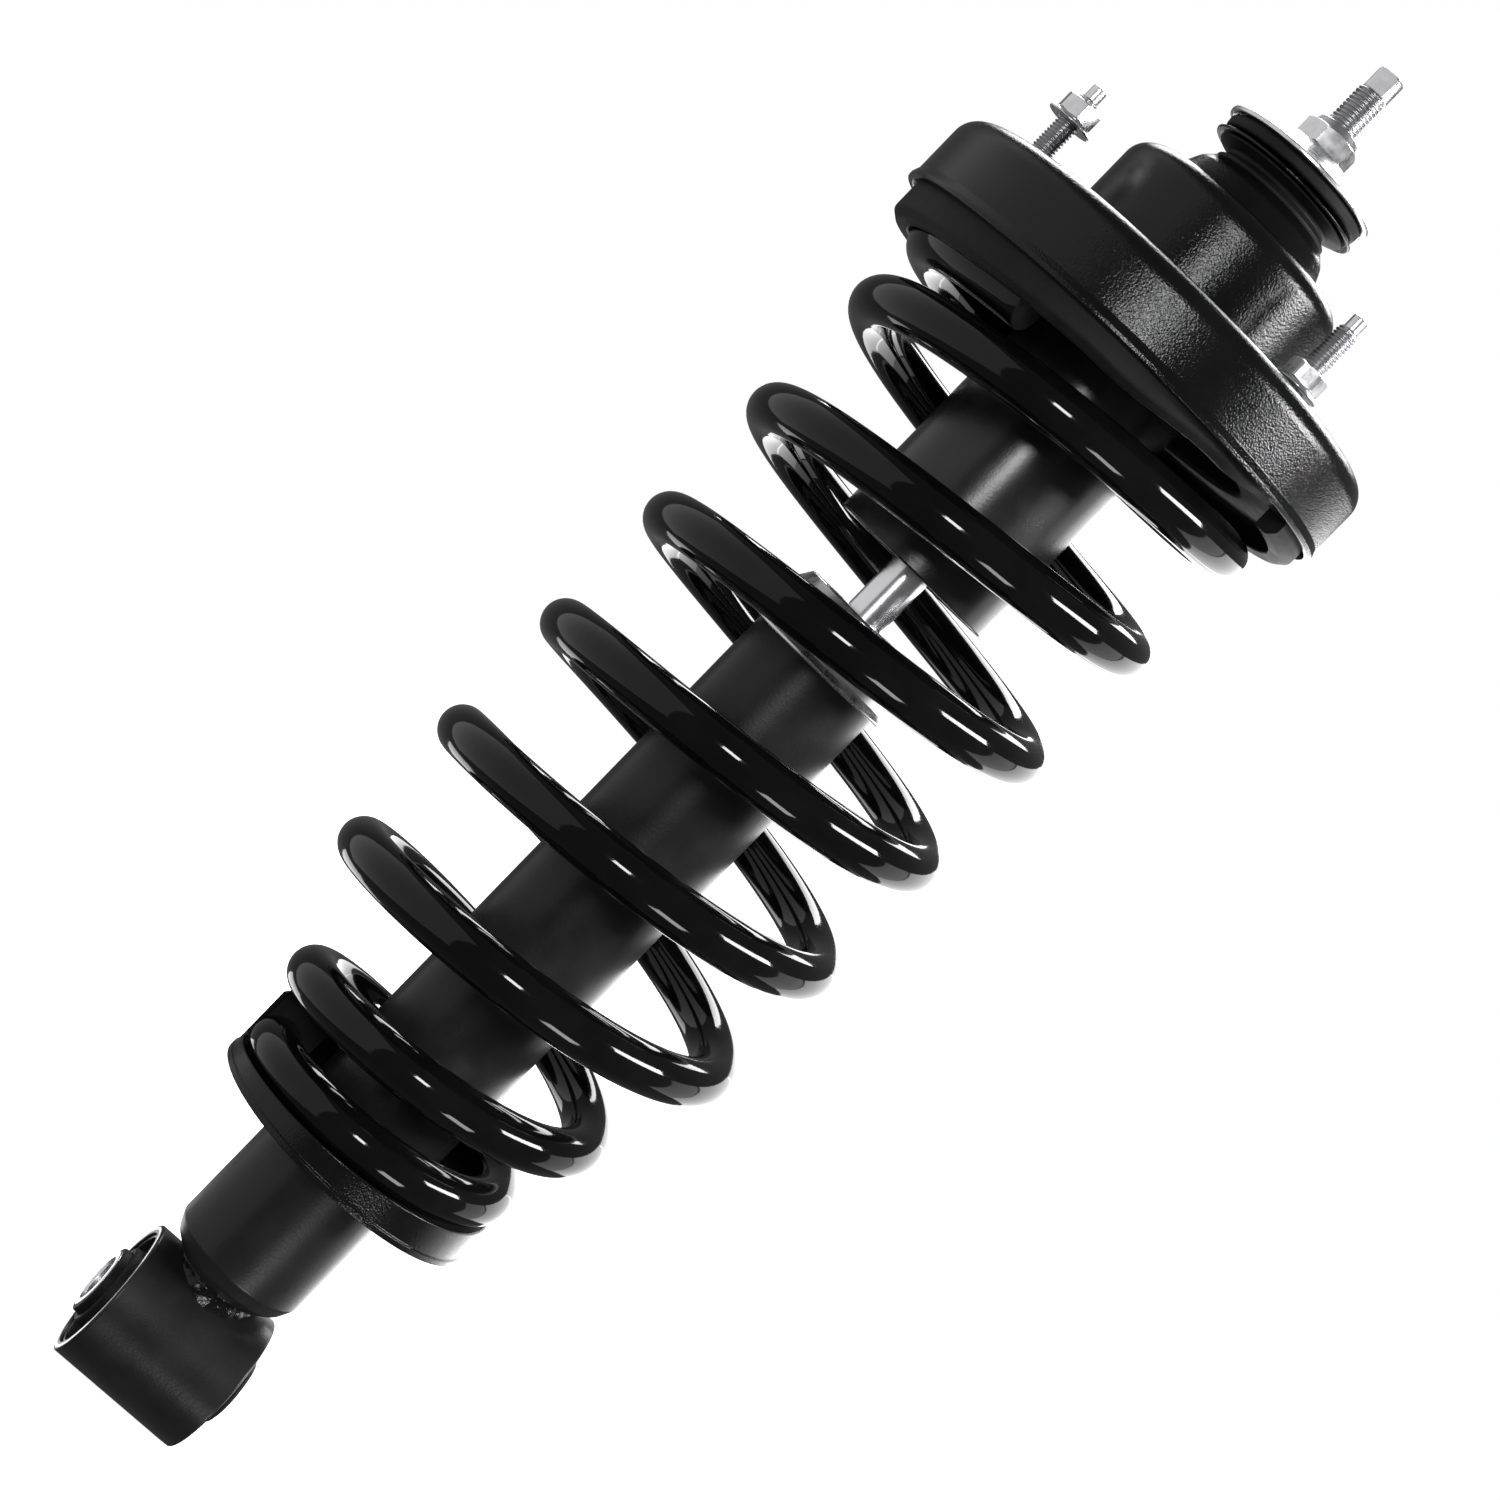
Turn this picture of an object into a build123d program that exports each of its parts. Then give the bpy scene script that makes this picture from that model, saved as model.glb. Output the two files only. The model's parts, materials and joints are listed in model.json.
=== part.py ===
from build123d import *
import math
import os

# Rear coil-over strut, millimetres. +Z runs up the strut from the lower eye to the top mount.
# The origin is the centre of the lower bush, whose bore runs along X.
# Threads are modelled as plain cylinders at their pitch diameter.

RUNNING_GAP = 0.05  # radial clearance of a shaft in a hole between two bodies

# Lower eye and bush
EYE_R = 27.3
EYE_LENGTH = 52.0
BUSH_SHELL_R = 23.7
BUSH_SHELL_WALL = 1.4
BUSH_SHELL_LENGTH = 50.0
RUBBER_RECESS = 2.5
RUBBER_COLLAR_R = 17.5
SLEEVE_R = 13.4
SLEEVE_BORE_R = 8.1
SLEEVE_LENGTH = 61.5
SLEEVE_CHAMFER = 0.8
RUBBER_COLLAR_LENGTH = 55.0
EYE_WELD_R = 17.0
EYE_WELD_BOTTOM = 14.0

# Damper body
TUBE_R = 25.75
TUBE_WALL = 2.2
CUP_BOTTOM = 28.5
CUP_TOP = 42.0
CUP_FLOOR = 3.5
CUP_CORNER_R = 8.5
TUBE_TOP = 336.0
PRESSURE_TUBE_R = 17.0
PRESSURE_TUBE_WALL = 1.5
BASE_VALVE_HEIGHT = 10.0
BASE_VALVE_PORTS = 4
BASE_VALVE_PORT_R = 1.5
BASE_VALVE_PORT_CIRCLE_R = 11.0
GUIDE_BOTTOM = 318.0
SEAL_BOTTOM = 331.0
CAP_R = 26.5
CAP_LIP_R = 28.7
CAP_BOTTOM = 319.9
CAP_TOP = 343.0
CAP_TOP_R = 23.2
CAP_LIP_HEIGHT = 1.2
CAP_LIP_SLOPE_TOP = 3.4
CAP_SHOULDER = 5.0
CAP_HOLE_R = 9.0

# Lower spring seat, whose wall climbs once around the strut
SEAT_BOTTOM = 88.8
SEAT_FLOOR = 90.6
SEAT_R = 53.4
SEAT_WALL = 1.3
SEAT_WALL_START = 95.0
SEAT_WALL_RISE = 19.8
SEAT_HUB_R = 28.2
SEAT_HUB_TOP = 101.0
SEAT_WELD_LEG = 4.0
CLIMB_SHARE = 0.99  # share of the turn that the climbing edge takes, before its step
INSULATOR_INNER_R = 32.0
STEP_LEAD_DEG = 5.0  # the insulator's step stands this far behind the wire's end

# Coil spring: turn number, radius of the wire's centre and its height, from the lower end up
WIRE_R = 8.6
SPRING_START_DEG = 170.0
SPRING_STATIONS = [
    (0.0, 43.2, 100.6),
    (1.0, 50.6, 126.9),
    (2.0, 70.6, 170.6),
    (7.0, 70.6, 419.8),
    (7.5, 70.6, 440.5),
    (8.2, 70.6, 449.3),
]
SPRING_GAP = 0.35

# Rod, piston and the parts clamped on the rod
ROD_R = 7.5
ROD_SHOULDER = 497.0
ROD_THREAD_R = 5.9
ROD_THREAD_TOP = 583.9
ROD_TIP_R = 5.15
ROD_TIP_FLATS = 6.5
ROD_TIP_TOP = 592.3
ROD_TIP_TURN_DEG = -30.0
PISTON_BOTTOM = 288.0
PISTON_TOP = 304.0
PISTON_STEM_R = 5.0
PISTON_NUT_HEIGHT = 8.0
PISTON_NUT_FLATS = 17.0
PISTON_CLEARANCE = 0.5
PISTON_GROOVE_DEPTH = 1.5
PISTON_LAND = 3.0
PISTON_PORTS = 6
PISTON_PORT_R = 1.4
PISTON_PORT_CIRCLE_R = 9.5
PISTON_STEM_END = 3.0  # how far the stem stands out below its nut
STOP_R = 12.0
STOP_GAP = 0.5
BUMP_BOTTOM = 424.0
BUMP_R = 22.0
BUMP_LOBES = 4
BUMP_WAIST_DEPTH = 3.0
BUMP_TAPER = 2.0  # each lobe is this much slimmer than the one above it
COVER_R = 31.8
COVER_WALL = 1.7
COVER_BOTTOM = 365.1
COVER_TOP = 480.0
SPACER_R = 14.0
SUPPORT_R = 33.0
SUPPORT_TOP = 500.0
INNER_SLEEVE_R = 10.0
INNER_SLEEVE_TOP = 555.2
WASHER_RIM_R = 30.8
WASHER_RIM_Z = 547.6
WASHER_RIM_THICKNESS = 1.8
WASHER_TOP = 557.2
WASHER_TOP_R = 12.5
WASHER_SEAT_R = 12.0
UPPER_CUSHION_R = 29.0
UPPER_CUSHION_CHAMFER = 0.8
ROD_NUT_FLATS = 19.0
ROD_NUT_HEX_TOP = 566.5
ROD_NUT_CROWN_BOTTOM = 565.0
ROD_NUT_CROWN_R = 9.2
ROD_NUT_CROWN_TOP_R = 7.4
ROD_NUT_TOP = 568.0

# Top mount
PAN_R = 91.3
PAN_LIP_R = 92.3
PAN_BOTTOM = 458.0
PAN_TOP = 487.0
PAN_PLATE = 2.5
PAN_CORNER_R = 8.0
PAN_LIP_HEIGHT = 1.0
PAN_LIP_SLOPE_TOP = 4.0
TOWER_R = 46.0
TOWER_WALL = 2.5
TOWER_TOP = 522.0
TOWER_CORNER_R = 8.0
TOWER_FLANGE_R = 50.0
NECK_BASE_R = 30.5
NECK_TOP_R = 24.3
NECK_TOP = 533.5
NECK_WALL = 2.2
NECK_BULGE_OUT = 1.2
NECK_BULGE_UP = 0.8
CUSHION_R = 38.0
CUSHION_CHAMFER = 4.0
CUSHION_LIP_R = 23.7
CUSHION_WAIST_R = 21.3
CUSHION_LIP_TOP = 534.7
CUSHION_WAIST_BOTTOM = 536.7
CUSHION_WAIST_TOP = 537.9
CUSHION_FLARE_R = 29.0
CUSHION_FLARE_Z = 540.15
CUSHION_TOP_R = 23.0
CUP_WASHER_R = 30.1
CUP_WASHER_Z = 541.7
CUP_WASHER_THICKNESS = 1.5
CUP_WASHER_DROOP = 1.2
CUP_WASHER_BEND_R = 24.1
ISOLATOR_R = 88.4
ISOLATOR_INNER_R = 60.0
ISOLATOR_BOTTOM = 445.0
ISOLATOR_PAD_BOTTOM = 458.6
ISOLATOR_LIP = 2.0
ISOLATOR_BEVEL = 4.0
ISOLATOR_TOP_GAP = 0.5
ISOLATOR_STUD_ROOM = 9.0
ISOLATOR_HEAD_GAP = 0.4

# Studs through the pan and the nuts on them
STUD_COUNT = 3
STUD_CIRCLE_R = 67.1
STUD_FIRST_DEG = 183.7
STUD_SHANK_R = 4.0
STUD_SHANK_HEIGHT = 2.6
STUD_THREAD_R = 3.6
STUD_THREAD_TOP = 515.0
STUD_TIP_R = 2.7
STUD_TIP_TOP = 520.2
STUD_NECK_R = 4.4
STUD_HEAD_R = 7.0
STUD_HEAD_HEIGHT = 3.6
NUT_FLATS = 13.0
NUT_HEIGHT = 6.3
NUT_WASHER_R = 8.8
NUT_WASHER_HEIGHT = 1.8
NUT_WASHER_RIM = 0.7
NUT_TURN_DEG = 25.0  # each nut stands this much further round than the last
NUT_BASES = [505.0, 490.0, 493.0]


def polygon_ring(points):
    """The solid of revolution about Z of a closed outline of (radius, height) points."""
    outline = Plane.XZ * make_face(Polyline(*points, close=True))
    return revolve(outline, Axis.Z)


def tube(outer, inner, bottom, top):
    """An upright hollow cylinder, or a plain one when inner is 0."""
    solid = Pos(0, 0, bottom) * Cylinder(outer, top - bottom, align=(Align.CENTER, Align.CENTER, Align.MIN))
    if inner:
        hole = Cylinder(inner, top - bottom, align=(Align.CENTER, Align.CENTER, Align.MIN))
        solid -= Pos(0, 0, bottom) * hole
    return solid


def cross_tube(outer, inner, length):
    """A hollow cylinder along X, centred on the origin."""
    return Rot(0, 90, 0) * (Cylinder(outer, length) - Cylinder(inner, length))


def hexagon(flats, bottom, top):
    """A hexagonal prism with its corners chamfered as on a turned nut."""
    prism = extrude(Pos(0, 0, bottom) * RegularPolygon(flats / 2, 6, major_radius=False), top - bottom)
    corner_r = flats / math.sqrt(3)
    chamfer = corner_r - flats / 2
    height = chamfer * math.tan(math.radians(30))
    blank = polygon_ring([
        (0, bottom),
        (flats / 2, bottom),
        (corner_r, bottom + height),
        (corner_r, top - height),
        (flats / 2, top),
        (0, top),
    ])
    return prism & blank


def cone_helix(start, end):
    """One stretch of the spring's centre line between two stations."""
    turns = end[0] - start[0]
    rise = end[2] - start[2]
    cone = math.atan2(end[1] - start[1], rise)
    pitch = rise / turns / math.cos(cone)
    curve = Helix(pitch=pitch, height=rise, radius=start[1], cone_angle=math.degrees(cone))
    return Pos(0, 0, start[2]) * Rot(0, 0, SPRING_START_DEG + 360 * start[0]) * curve


def climbing_ring(outer, inner, bottom, start_top, rise, start_deg):
    """A ring whose top climbs by rise in one turn, and drops back where the turn ends."""
    ring = tube(outer, inner, bottom, start_top + rise)
    path_r = (outer + inner) / 2
    helix = Helix(pitch=rise, height=CLIMB_SHARE * rise, radius=path_r)
    path = Pos(0, 0, start_top) * Rot(0, 0, start_deg) * helix
    start = path @ 0
    outward = (start - Vector(0, 0, start_top)).normalized()
    high = rise + 5
    section = Plane(origin=start, x_dir=outward, z_dir=Vector(0, 0, 1).cross(outward))
    profile = section * Pos(0, -high / 2) * Rectangle(outer - inner + 8, high)
    return ring - sweep(profile, path=path, is_frenet=True)


# ---------------------------------------------------------------- lower eye and bush

def lower_eye():
    return cross_tube(EYE_R, BUSH_SHELL_R, EYE_LENGTH)


def eye_weld_bead():
    block = tube(EYE_WELD_R, 0, EYE_WELD_BOTTOM, CUP_BOTTOM)
    return block - Rot(0, 90, 0) * Cylinder(EYE_R, 2 * EYE_LENGTH)


def lower_bush_shell():
    return cross_tube(BUSH_SHELL_R, BUSH_SHELL_R - BUSH_SHELL_WALL, BUSH_SHELL_LENGTH)


def lower_bush_rubber():
    inner = SLEEVE_R + RUNNING_GAP
    body = cross_tube(BUSH_SHELL_R - BUSH_SHELL_WALL, inner, BUSH_SHELL_LENGTH - 2 * RUBBER_RECESS)
    collar = cross_tube(RUBBER_COLLAR_R, inner, RUBBER_COLLAR_LENGTH)
    return body + collar


def lower_bush_sleeve():
    sleeve = cross_tube(SLEEVE_R, SLEEVE_BORE_R, SLEEVE_LENGTH)
    mouths = sleeve.edges().filter_by(GeomType.CIRCLE).filter_by(lambda e: e.radius < SLEEVE_BORE_R + 1)
    return chamfer(mouths, SLEEVE_CHAMFER)


# ---------------------------------------------------------------- damper body

def base_cup():
    solid = tube(TUBE_R, 0, CUP_BOTTOM, CUP_TOP)
    solid = fillet(solid.edges().group_by(Axis.Z)[0], CUP_CORNER_R)
    floor = CUP_BOTTOM + CUP_FLOOR
    pocket = tube(TUBE_R - TUBE_WALL, 0, floor, CUP_TOP)
    return solid - fillet(pocket.edges().group_by(Axis.Z)[0], CUP_CORNER_R - TUBE_WALL)


def reserve_tube():
    return tube(TUBE_R, TUBE_R - TUBE_WALL, CUP_TOP, TUBE_TOP)


def base_valve():
    floor = CUP_BOTTOM + CUP_FLOOR
    valve = tube(PRESSURE_TUBE_R, 0, floor, floor + BASE_VALVE_HEIGHT)
    for place in PolarLocations(BASE_VALVE_PORT_CIRCLE_R, BASE_VALVE_PORTS):
        valve -= Pos(0, 0, floor) * place * Cylinder(BASE_VALVE_PORT_R, 3 * BASE_VALVE_HEIGHT)
    return valve


def pressure_tube():
    bottom = CUP_BOTTOM + CUP_FLOOR + BASE_VALVE_HEIGHT
    return tube(PRESSURE_TUBE_R, PRESSURE_TUBE_R - PRESSURE_TUBE_WALL, bottom, GUIDE_BOTTOM)


def rod_guide():
    return tube(TUBE_R - TUBE_WALL, ROD_R + RUNNING_GAP, GUIDE_BOTTOM, SEAL_BOTTOM)


def rod_seal():
    return tube(TUBE_R - TUBE_WALL, ROD_R + RUNNING_GAP, SEAL_BOTTOM, TUBE_TOP)


def striker_cap():
    return polygon_ring([
        (TUBE_R, CAP_BOTTOM),
        (CAP_LIP_R, CAP_BOTTOM),
        (CAP_LIP_R, CAP_BOTTOM + CAP_LIP_HEIGHT),
        (CAP_R, CAP_BOTTOM + CAP_LIP_SLOPE_TOP),
        (CAP_R, CAP_TOP - CAP_SHOULDER),
        (CAP_TOP_R, CAP_TOP),
        (CAP_HOLE_R, CAP_TOP),
        (CAP_HOLE_R, TUBE_TOP),
        (TUBE_R, TUBE_TOP),
    ])


# ---------------------------------------------------------------- lower spring seat

def lower_spring_seat():
    floor = tube(SEAT_R, TUBE_R, SEAT_BOTTOM, SEAT_FLOOR)
    hub = tube(SEAT_HUB_R, TUBE_R, SEAT_FLOOR, SEAT_HUB_TOP)
    wall = climbing_ring(
        SEAT_R, SEAT_R - SEAT_WALL, SEAT_FLOOR, SEAT_WALL_START, SEAT_WALL_RISE, SPRING_START_DEG
    )
    return floor + hub + wall


def seat_weld_bead():
    return polygon_ring([
        (TUBE_R, SEAT_BOTTOM - SEAT_WELD_LEG),
        (TUBE_R + SEAT_WELD_LEG, SEAT_BOTTOM),
        (TUBE_R, SEAT_BOTTOM),
    ])


def lower_spring_insulator():
    start, end = SPRING_STATIONS[:2]
    rise = end[2] - start[2]
    top = start[2] - WIRE_R - SPRING_GAP - rise * STEP_LEAD_DEG / 360
    return climbing_ring(
        SEAT_R - SEAT_WALL, INSULATOR_INNER_R, SEAT_FLOOR, top, rise, SPRING_START_DEG - STEP_LEAD_DEG
    )


def coil_spring():
    pairs = zip(SPRING_STATIONS, SPRING_STATIONS[1:])
    centre_line = Wire([cone_helix(start, end) for start, end in pairs])
    section = Plane(origin=centre_line @ 0, z_dir=centre_line % 0) * Circle(WIRE_R)
    return sweep(section, path=centre_line, is_frenet=True, transition=Transition.TRANSFORMED)


# ---------------------------------------------------------------- rod and piston

def piston_rod():
    rod = tube(ROD_R, 0, PISTON_TOP, ROD_SHOULDER)
    stem = tube(PISTON_STEM_R, 0, PISTON_BOTTOM - PISTON_NUT_HEIGHT - PISTON_STEM_END, PISTON_TOP)
    thread = tube(ROD_THREAD_R, 0, ROD_SHOULDER, ROD_THREAD_TOP)
    tip = tube(ROD_TIP_R, 0, ROD_THREAD_TOP, ROD_TIP_TOP)
    flats = Pos(0, 0, (ROD_THREAD_TOP + ROD_TIP_TOP) / 2) * Box(
        4 * ROD_TIP_R, ROD_TIP_FLATS, ROD_TIP_TOP - ROD_THREAD_TOP
    )
    return rod + stem + thread + (tip & Rot(0, 0, ROD_TIP_TURN_DEG) * flats)


def piston():
    bore = PRESSURE_TUBE_R - PRESSURE_TUBE_WALL
    body = tube(bore - PISTON_CLEARANCE, PISTON_STEM_R, PISTON_BOTTOM, PISTON_TOP)
    body -= tube(bore, bore - PISTON_GROOVE_DEPTH, PISTON_BOTTOM + PISTON_LAND, PISTON_TOP - PISTON_LAND)
    for place in PolarLocations(PISTON_PORT_CIRCLE_R, PISTON_PORTS):
        body -= Pos(0, 0, PISTON_BOTTOM) * place * Cylinder(PISTON_PORT_R, 3 * (PISTON_TOP - PISTON_BOTTOM))
    return body


def piston_band():
    bore = PRESSURE_TUBE_R - PRESSURE_TUBE_WALL
    return tube(
        bore - RUNNING_GAP, bore - PISTON_GROOVE_DEPTH, PISTON_BOTTOM + PISTON_LAND, PISTON_TOP - PISTON_LAND
    )


def piston_nut():
    nut = hexagon(PISTON_NUT_FLATS, PISTON_BOTTOM - PISTON_NUT_HEIGHT, PISTON_BOTTOM)
    return nut - tube(PISTON_STEM_R, 0, PISTON_BOTTOM - PISTON_NUT_HEIGHT, PISTON_BOTTOM)


def rebound_stop():
    return tube(STOP_R, ROD_R, PISTON_TOP, GUIDE_BOTTOM - STOP_GAP)


def bump_stop():
    """A foam buffer with three waists, narrowing towards its lower nose."""
    top = COVER_TOP - COVER_WALL
    pitch = (top - BUMP_BOTTOM) / BUMP_LOBES
    points = [(ROD_R, BUMP_BOTTOM)]
    for lobe in range(BUMP_LOBES):
        low = BUMP_BOTTOM + lobe * pitch
        r = BUMP_R - BUMP_TAPER * (BUMP_LOBES - 1 - lobe)
        points += [(r - BUMP_WAIST_DEPTH, low), (r, low + pitch / 3), (r, low + 2 * pitch / 3)]
    points += [(BUMP_R - BUMP_WAIST_DEPTH, top), (ROD_R, top)]
    return polygon_ring(points)


def dust_cover():
    inner = COVER_R - COVER_WALL
    top = COVER_TOP - COVER_WALL
    return tube(COVER_R, inner, COVER_BOTTOM, top) + tube(COVER_R, ROD_R, top, COVER_TOP)


def bump_stop_spacer():
    return tube(SPACER_R, ROD_R, COVER_TOP, ROD_SHOULDER)


def support_washer():
    return tube(SUPPORT_R, ROD_THREAD_R, ROD_SHOULDER, SUPPORT_TOP)


def inner_sleeve():
    return tube(INNER_SLEEVE_R, ROD_THREAD_R, SUPPORT_TOP, INNER_SLEEVE_TOP)


def cup_washer():
    """A thin washer whose outer edge droops around the cushion below it."""
    bottom = CUP_WASHER_Z
    top = bottom + CUP_WASHER_THICKNESS
    return polygon_ring([
        (INNER_SLEEVE_R, bottom),
        (CUP_WASHER_BEND_R, bottom),
        (CUP_WASHER_R, bottom - CUP_WASHER_DROOP),
        (CUP_WASHER_R, bottom),
        (CUP_WASHER_BEND_R, top),
        (INNER_SLEEVE_R, top),
    ])


def upper_cushion():
    bottom = CUP_WASHER_Z + CUP_WASHER_THICKNESS
    return polygon_ring([
        (INNER_SLEEVE_R, bottom),
        (UPPER_CUSHION_R - UPPER_CUSHION_CHAMFER, bottom),
        (UPPER_CUSHION_R, bottom + UPPER_CUSHION_CHAMFER),
        (UPPER_CUSHION_R, WASHER_RIM_Z),
        (WASHER_SEAT_R, INNER_SLEEVE_TOP),
        (INNER_SLEEVE_R, INNER_SLEEVE_TOP),
    ])


def dished_washer():
    return polygon_ring([
        (ROD_THREAD_R, INNER_SLEEVE_TOP),
        (WASHER_SEAT_R, INNER_SLEEVE_TOP),
        (UPPER_CUSHION_R, WASHER_RIM_Z),
        (WASHER_RIM_R, WASHER_RIM_Z),
        (WASHER_RIM_R, WASHER_RIM_Z + WASHER_RIM_THICKNESS),
        (WASHER_TOP_R, WASHER_TOP),
        (ROD_THREAD_R, WASHER_TOP),
    ])


def rod_nut():
    """A lock nut: a hexagon with a tapered crown."""
    nut = hexagon(ROD_NUT_FLATS, WASHER_TOP, ROD_NUT_HEX_TOP)
    crown = polygon_ring([
        (0, ROD_NUT_CROWN_BOTTOM),
        (ROD_NUT_CROWN_R, ROD_NUT_CROWN_BOTTOM),
        (ROD_NUT_CROWN_TOP_R, ROD_NUT_TOP),
        (0, ROD_NUT_TOP),
    ])
    return nut + crown - tube(ROD_THREAD_R, 0, WASHER_TOP, ROD_NUT_TOP)


# ---------------------------------------------------------------- top mount

def stud_places():
    return [
        (STUD_CIRCLE_R, math.radians(STUD_FIRST_DEG + 360 / STUD_COUNT * i)) for i in range(STUD_COUNT)
    ]


def at_stud(index):
    radius, angle = stud_places()[index]
    return Pos(radius * math.cos(angle), radius * math.sin(angle), 0)


def upper_spring_seat():
    """A pan open downwards: a flat top with stud holes, a rounded shoulder and a lipped wall."""
    outer = tube(PAN_R, 0, PAN_BOTTOM, PAN_TOP)
    outer = fillet(outer.edges().group_by(Axis.Z)[-1], PAN_CORNER_R)
    inner = tube(PAN_R - PAN_PLATE, 0, PAN_BOTTOM, PAN_TOP - PAN_PLATE)
    inner = fillet(inner.edges().group_by(Axis.Z)[-1], PAN_CORNER_R - PAN_PLATE)
    lip = polygon_ring([
        (PAN_R - PAN_PLATE, PAN_BOTTOM),
        (PAN_LIP_R, PAN_BOTTOM),
        (PAN_LIP_R, PAN_BOTTOM + PAN_LIP_HEIGHT),
        (PAN_R, PAN_BOTTOM + PAN_LIP_SLOPE_TOP),
        (PAN_R - PAN_PLATE, PAN_BOTTOM + PAN_LIP_SLOPE_TOP),
    ])
    pan = outer - inner + lip - tube(TOWER_R, 0, PAN_BOTTOM, PAN_TOP)
    for index in range(STUD_COUNT):
        pan -= at_stud(index) * tube(STUD_NECK_R, 0, PAN_TOP - 2 * PAN_PLATE, PAN_TOP)
    return pan


def mount_tower():
    """The domed shell that holds the bushing, with a flange under the pan."""
    plate_bottom = PAN_TOP - PAN_PLATE
    outer = tube(TOWER_R, 0, plate_bottom, TOWER_TOP)
    outer = fillet(outer.edges().group_by(Axis.Z)[-1], TOWER_CORNER_R)
    inner = tube(TOWER_R - TOWER_WALL, 0, plate_bottom, TOWER_TOP - TOWER_WALL)
    inner = fillet(inner.edges().group_by(Axis.Z)[-1], TOWER_CORNER_R - TOWER_WALL)
    flange = tube(TOWER_FLANGE_R, TOWER_R - TOWER_WALL, plate_bottom - TOWER_WALL, plate_bottom)
    hole = tube(NECK_BASE_R - NECK_WALL, 0, TOWER_TOP - 2 * TOWER_WALL, TOWER_TOP)
    return outer - inner + flange - hole


def neck_arc(base_r, top_r, bottom, top):
    """The outline from the neck's foot to its mouth, bulging outwards."""
    middle = ((base_r + top_r) / 2 + NECK_BULGE_OUT, (bottom + top) / 2 + NECK_BULGE_UP)
    return ThreePointArc((base_r, bottom), middle, (top_r, top))


def neck_shell():
    outer = neck_arc(NECK_BASE_R, NECK_TOP_R, TOWER_TOP, NECK_TOP)
    inner = neck_arc(NECK_BASE_R - NECK_WALL, NECK_TOP_R - NECK_WALL, TOWER_TOP, NECK_TOP)
    foot = Line(inner @ 0, outer @ 0)
    mouth = Line(outer @ 1, inner @ 1)
    section = make_face([foot, outer, mouth, inner])
    return revolve(Plane.XZ * section, Axis.Z)


def lower_cushion():
    """The rubber bushing: a block under the shoulder, a neck through it and a flared top."""
    bore = INNER_SLEEVE_R + RUNNING_GAP
    neck_r = NECK_TOP_R - NECK_WALL
    block_top = TOWER_TOP - TOWER_WALL
    return polygon_ring([
        (bore, SUPPORT_TOP),
        (CUSHION_R - CUSHION_CHAMFER, SUPPORT_TOP),
        (CUSHION_R, SUPPORT_TOP + CUSHION_CHAMFER),
        (CUSHION_R, block_top - CUSHION_CHAMFER),
        (CUSHION_R - CUSHION_CHAMFER, block_top),
        (neck_r, block_top),
        (neck_r, NECK_TOP),
        (CUSHION_LIP_R, NECK_TOP),
        (CUSHION_LIP_R, CUSHION_LIP_TOP),
        (CUSHION_WAIST_R, CUSHION_WAIST_BOTTOM),
        (CUSHION_WAIST_R, CUSHION_WAIST_TOP),
        (CUSHION_FLARE_R, CUSHION_FLARE_Z),
        (CUSHION_TOP_R, CUP_WASHER_Z),
        (bore, CUP_WASHER_Z),
    ])


def upper_spring_isolator():
    """A rubber ring in the pan: a pad on the last coil and a skirt around it."""
    pad_top = PAN_TOP - PAN_PLATE
    head_room = pad_top - STUD_HEAD_HEIGHT - ISOLATOR_HEAD_GAP
    skirt_inner = SPRING_STATIONS[-1][1] + WIRE_R + 2 * SPRING_GAP
    corner = PAN_CORNER_R - PAN_PLATE
    wall = PAN_R - PAN_PLATE
    return polygon_ring([
        (ISOLATOR_INNER_R, ISOLATOR_PAD_BOTTOM),
        (skirt_inner, ISOLATOR_PAD_BOTTOM),
        (skirt_inner, ISOLATOR_BOTTOM + ISOLATOR_LIP),
        (skirt_inner + ISOLATOR_LIP, ISOLATOR_BOTTOM),
        (ISOLATOR_R - ISOLATOR_BEVEL, ISOLATOR_BOTTOM),
        (ISOLATOR_R, ISOLATOR_BOTTOM + ISOLATOR_BEVEL),
        (ISOLATOR_R, pad_top - corner),
        (wall - corner, pad_top - ISOLATOR_TOP_GAP),
        (STUD_CIRCLE_R + ISOLATOR_STUD_ROOM, pad_top - ISOLATOR_TOP_GAP),
        (STUD_CIRCLE_R + ISOLATOR_STUD_ROOM, head_room),
        (ISOLATOR_INNER_R, head_room),
    ])


def mount_stud(index):
    plate_bottom = PAN_TOP - PAN_PLATE
    shank_top = PAN_TOP + STUD_SHANK_HEIGHT
    stud = tube(STUD_HEAD_R, 0, plate_bottom - STUD_HEAD_HEIGHT, plate_bottom)
    stud += tube(STUD_NECK_R, 0, plate_bottom, PAN_TOP)
    stud += tube(STUD_SHANK_R, 0, PAN_TOP, shank_top)
    stud += tube(STUD_THREAD_R, 0, shank_top, STUD_THREAD_TOP)
    stud += tube(STUD_TIP_R, 0, STUD_THREAD_TOP, STUD_TIP_TOP)
    return at_stud(index) * stud


def stud_washer(index):
    base = NUT_BASES[index]
    top = base + NUT_WASHER_HEIGHT
    bore = STUD_THREAD_R + 2 * RUNNING_GAP
    washer = polygon_ring([
        (bore, base),
        (NUT_WASHER_R, base),
        (NUT_WASHER_R, base + NUT_WASHER_RIM),
        (NUT_FLATS / 2, top),
        (bore, top),
    ])
    return at_stud(index) * washer


def stud_nut(index):
    bottom = NUT_BASES[index] + NUT_WASHER_HEIGHT
    top = bottom + NUT_HEIGHT
    nut = hexagon(NUT_FLATS, bottom, top)
    turn = Rot(0, 0, NUT_TURN_DEG * index)
    return at_stud(index) * turn * (nut - tube(STUD_THREAD_R + RUNNING_GAP, 0, bottom, top))


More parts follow.
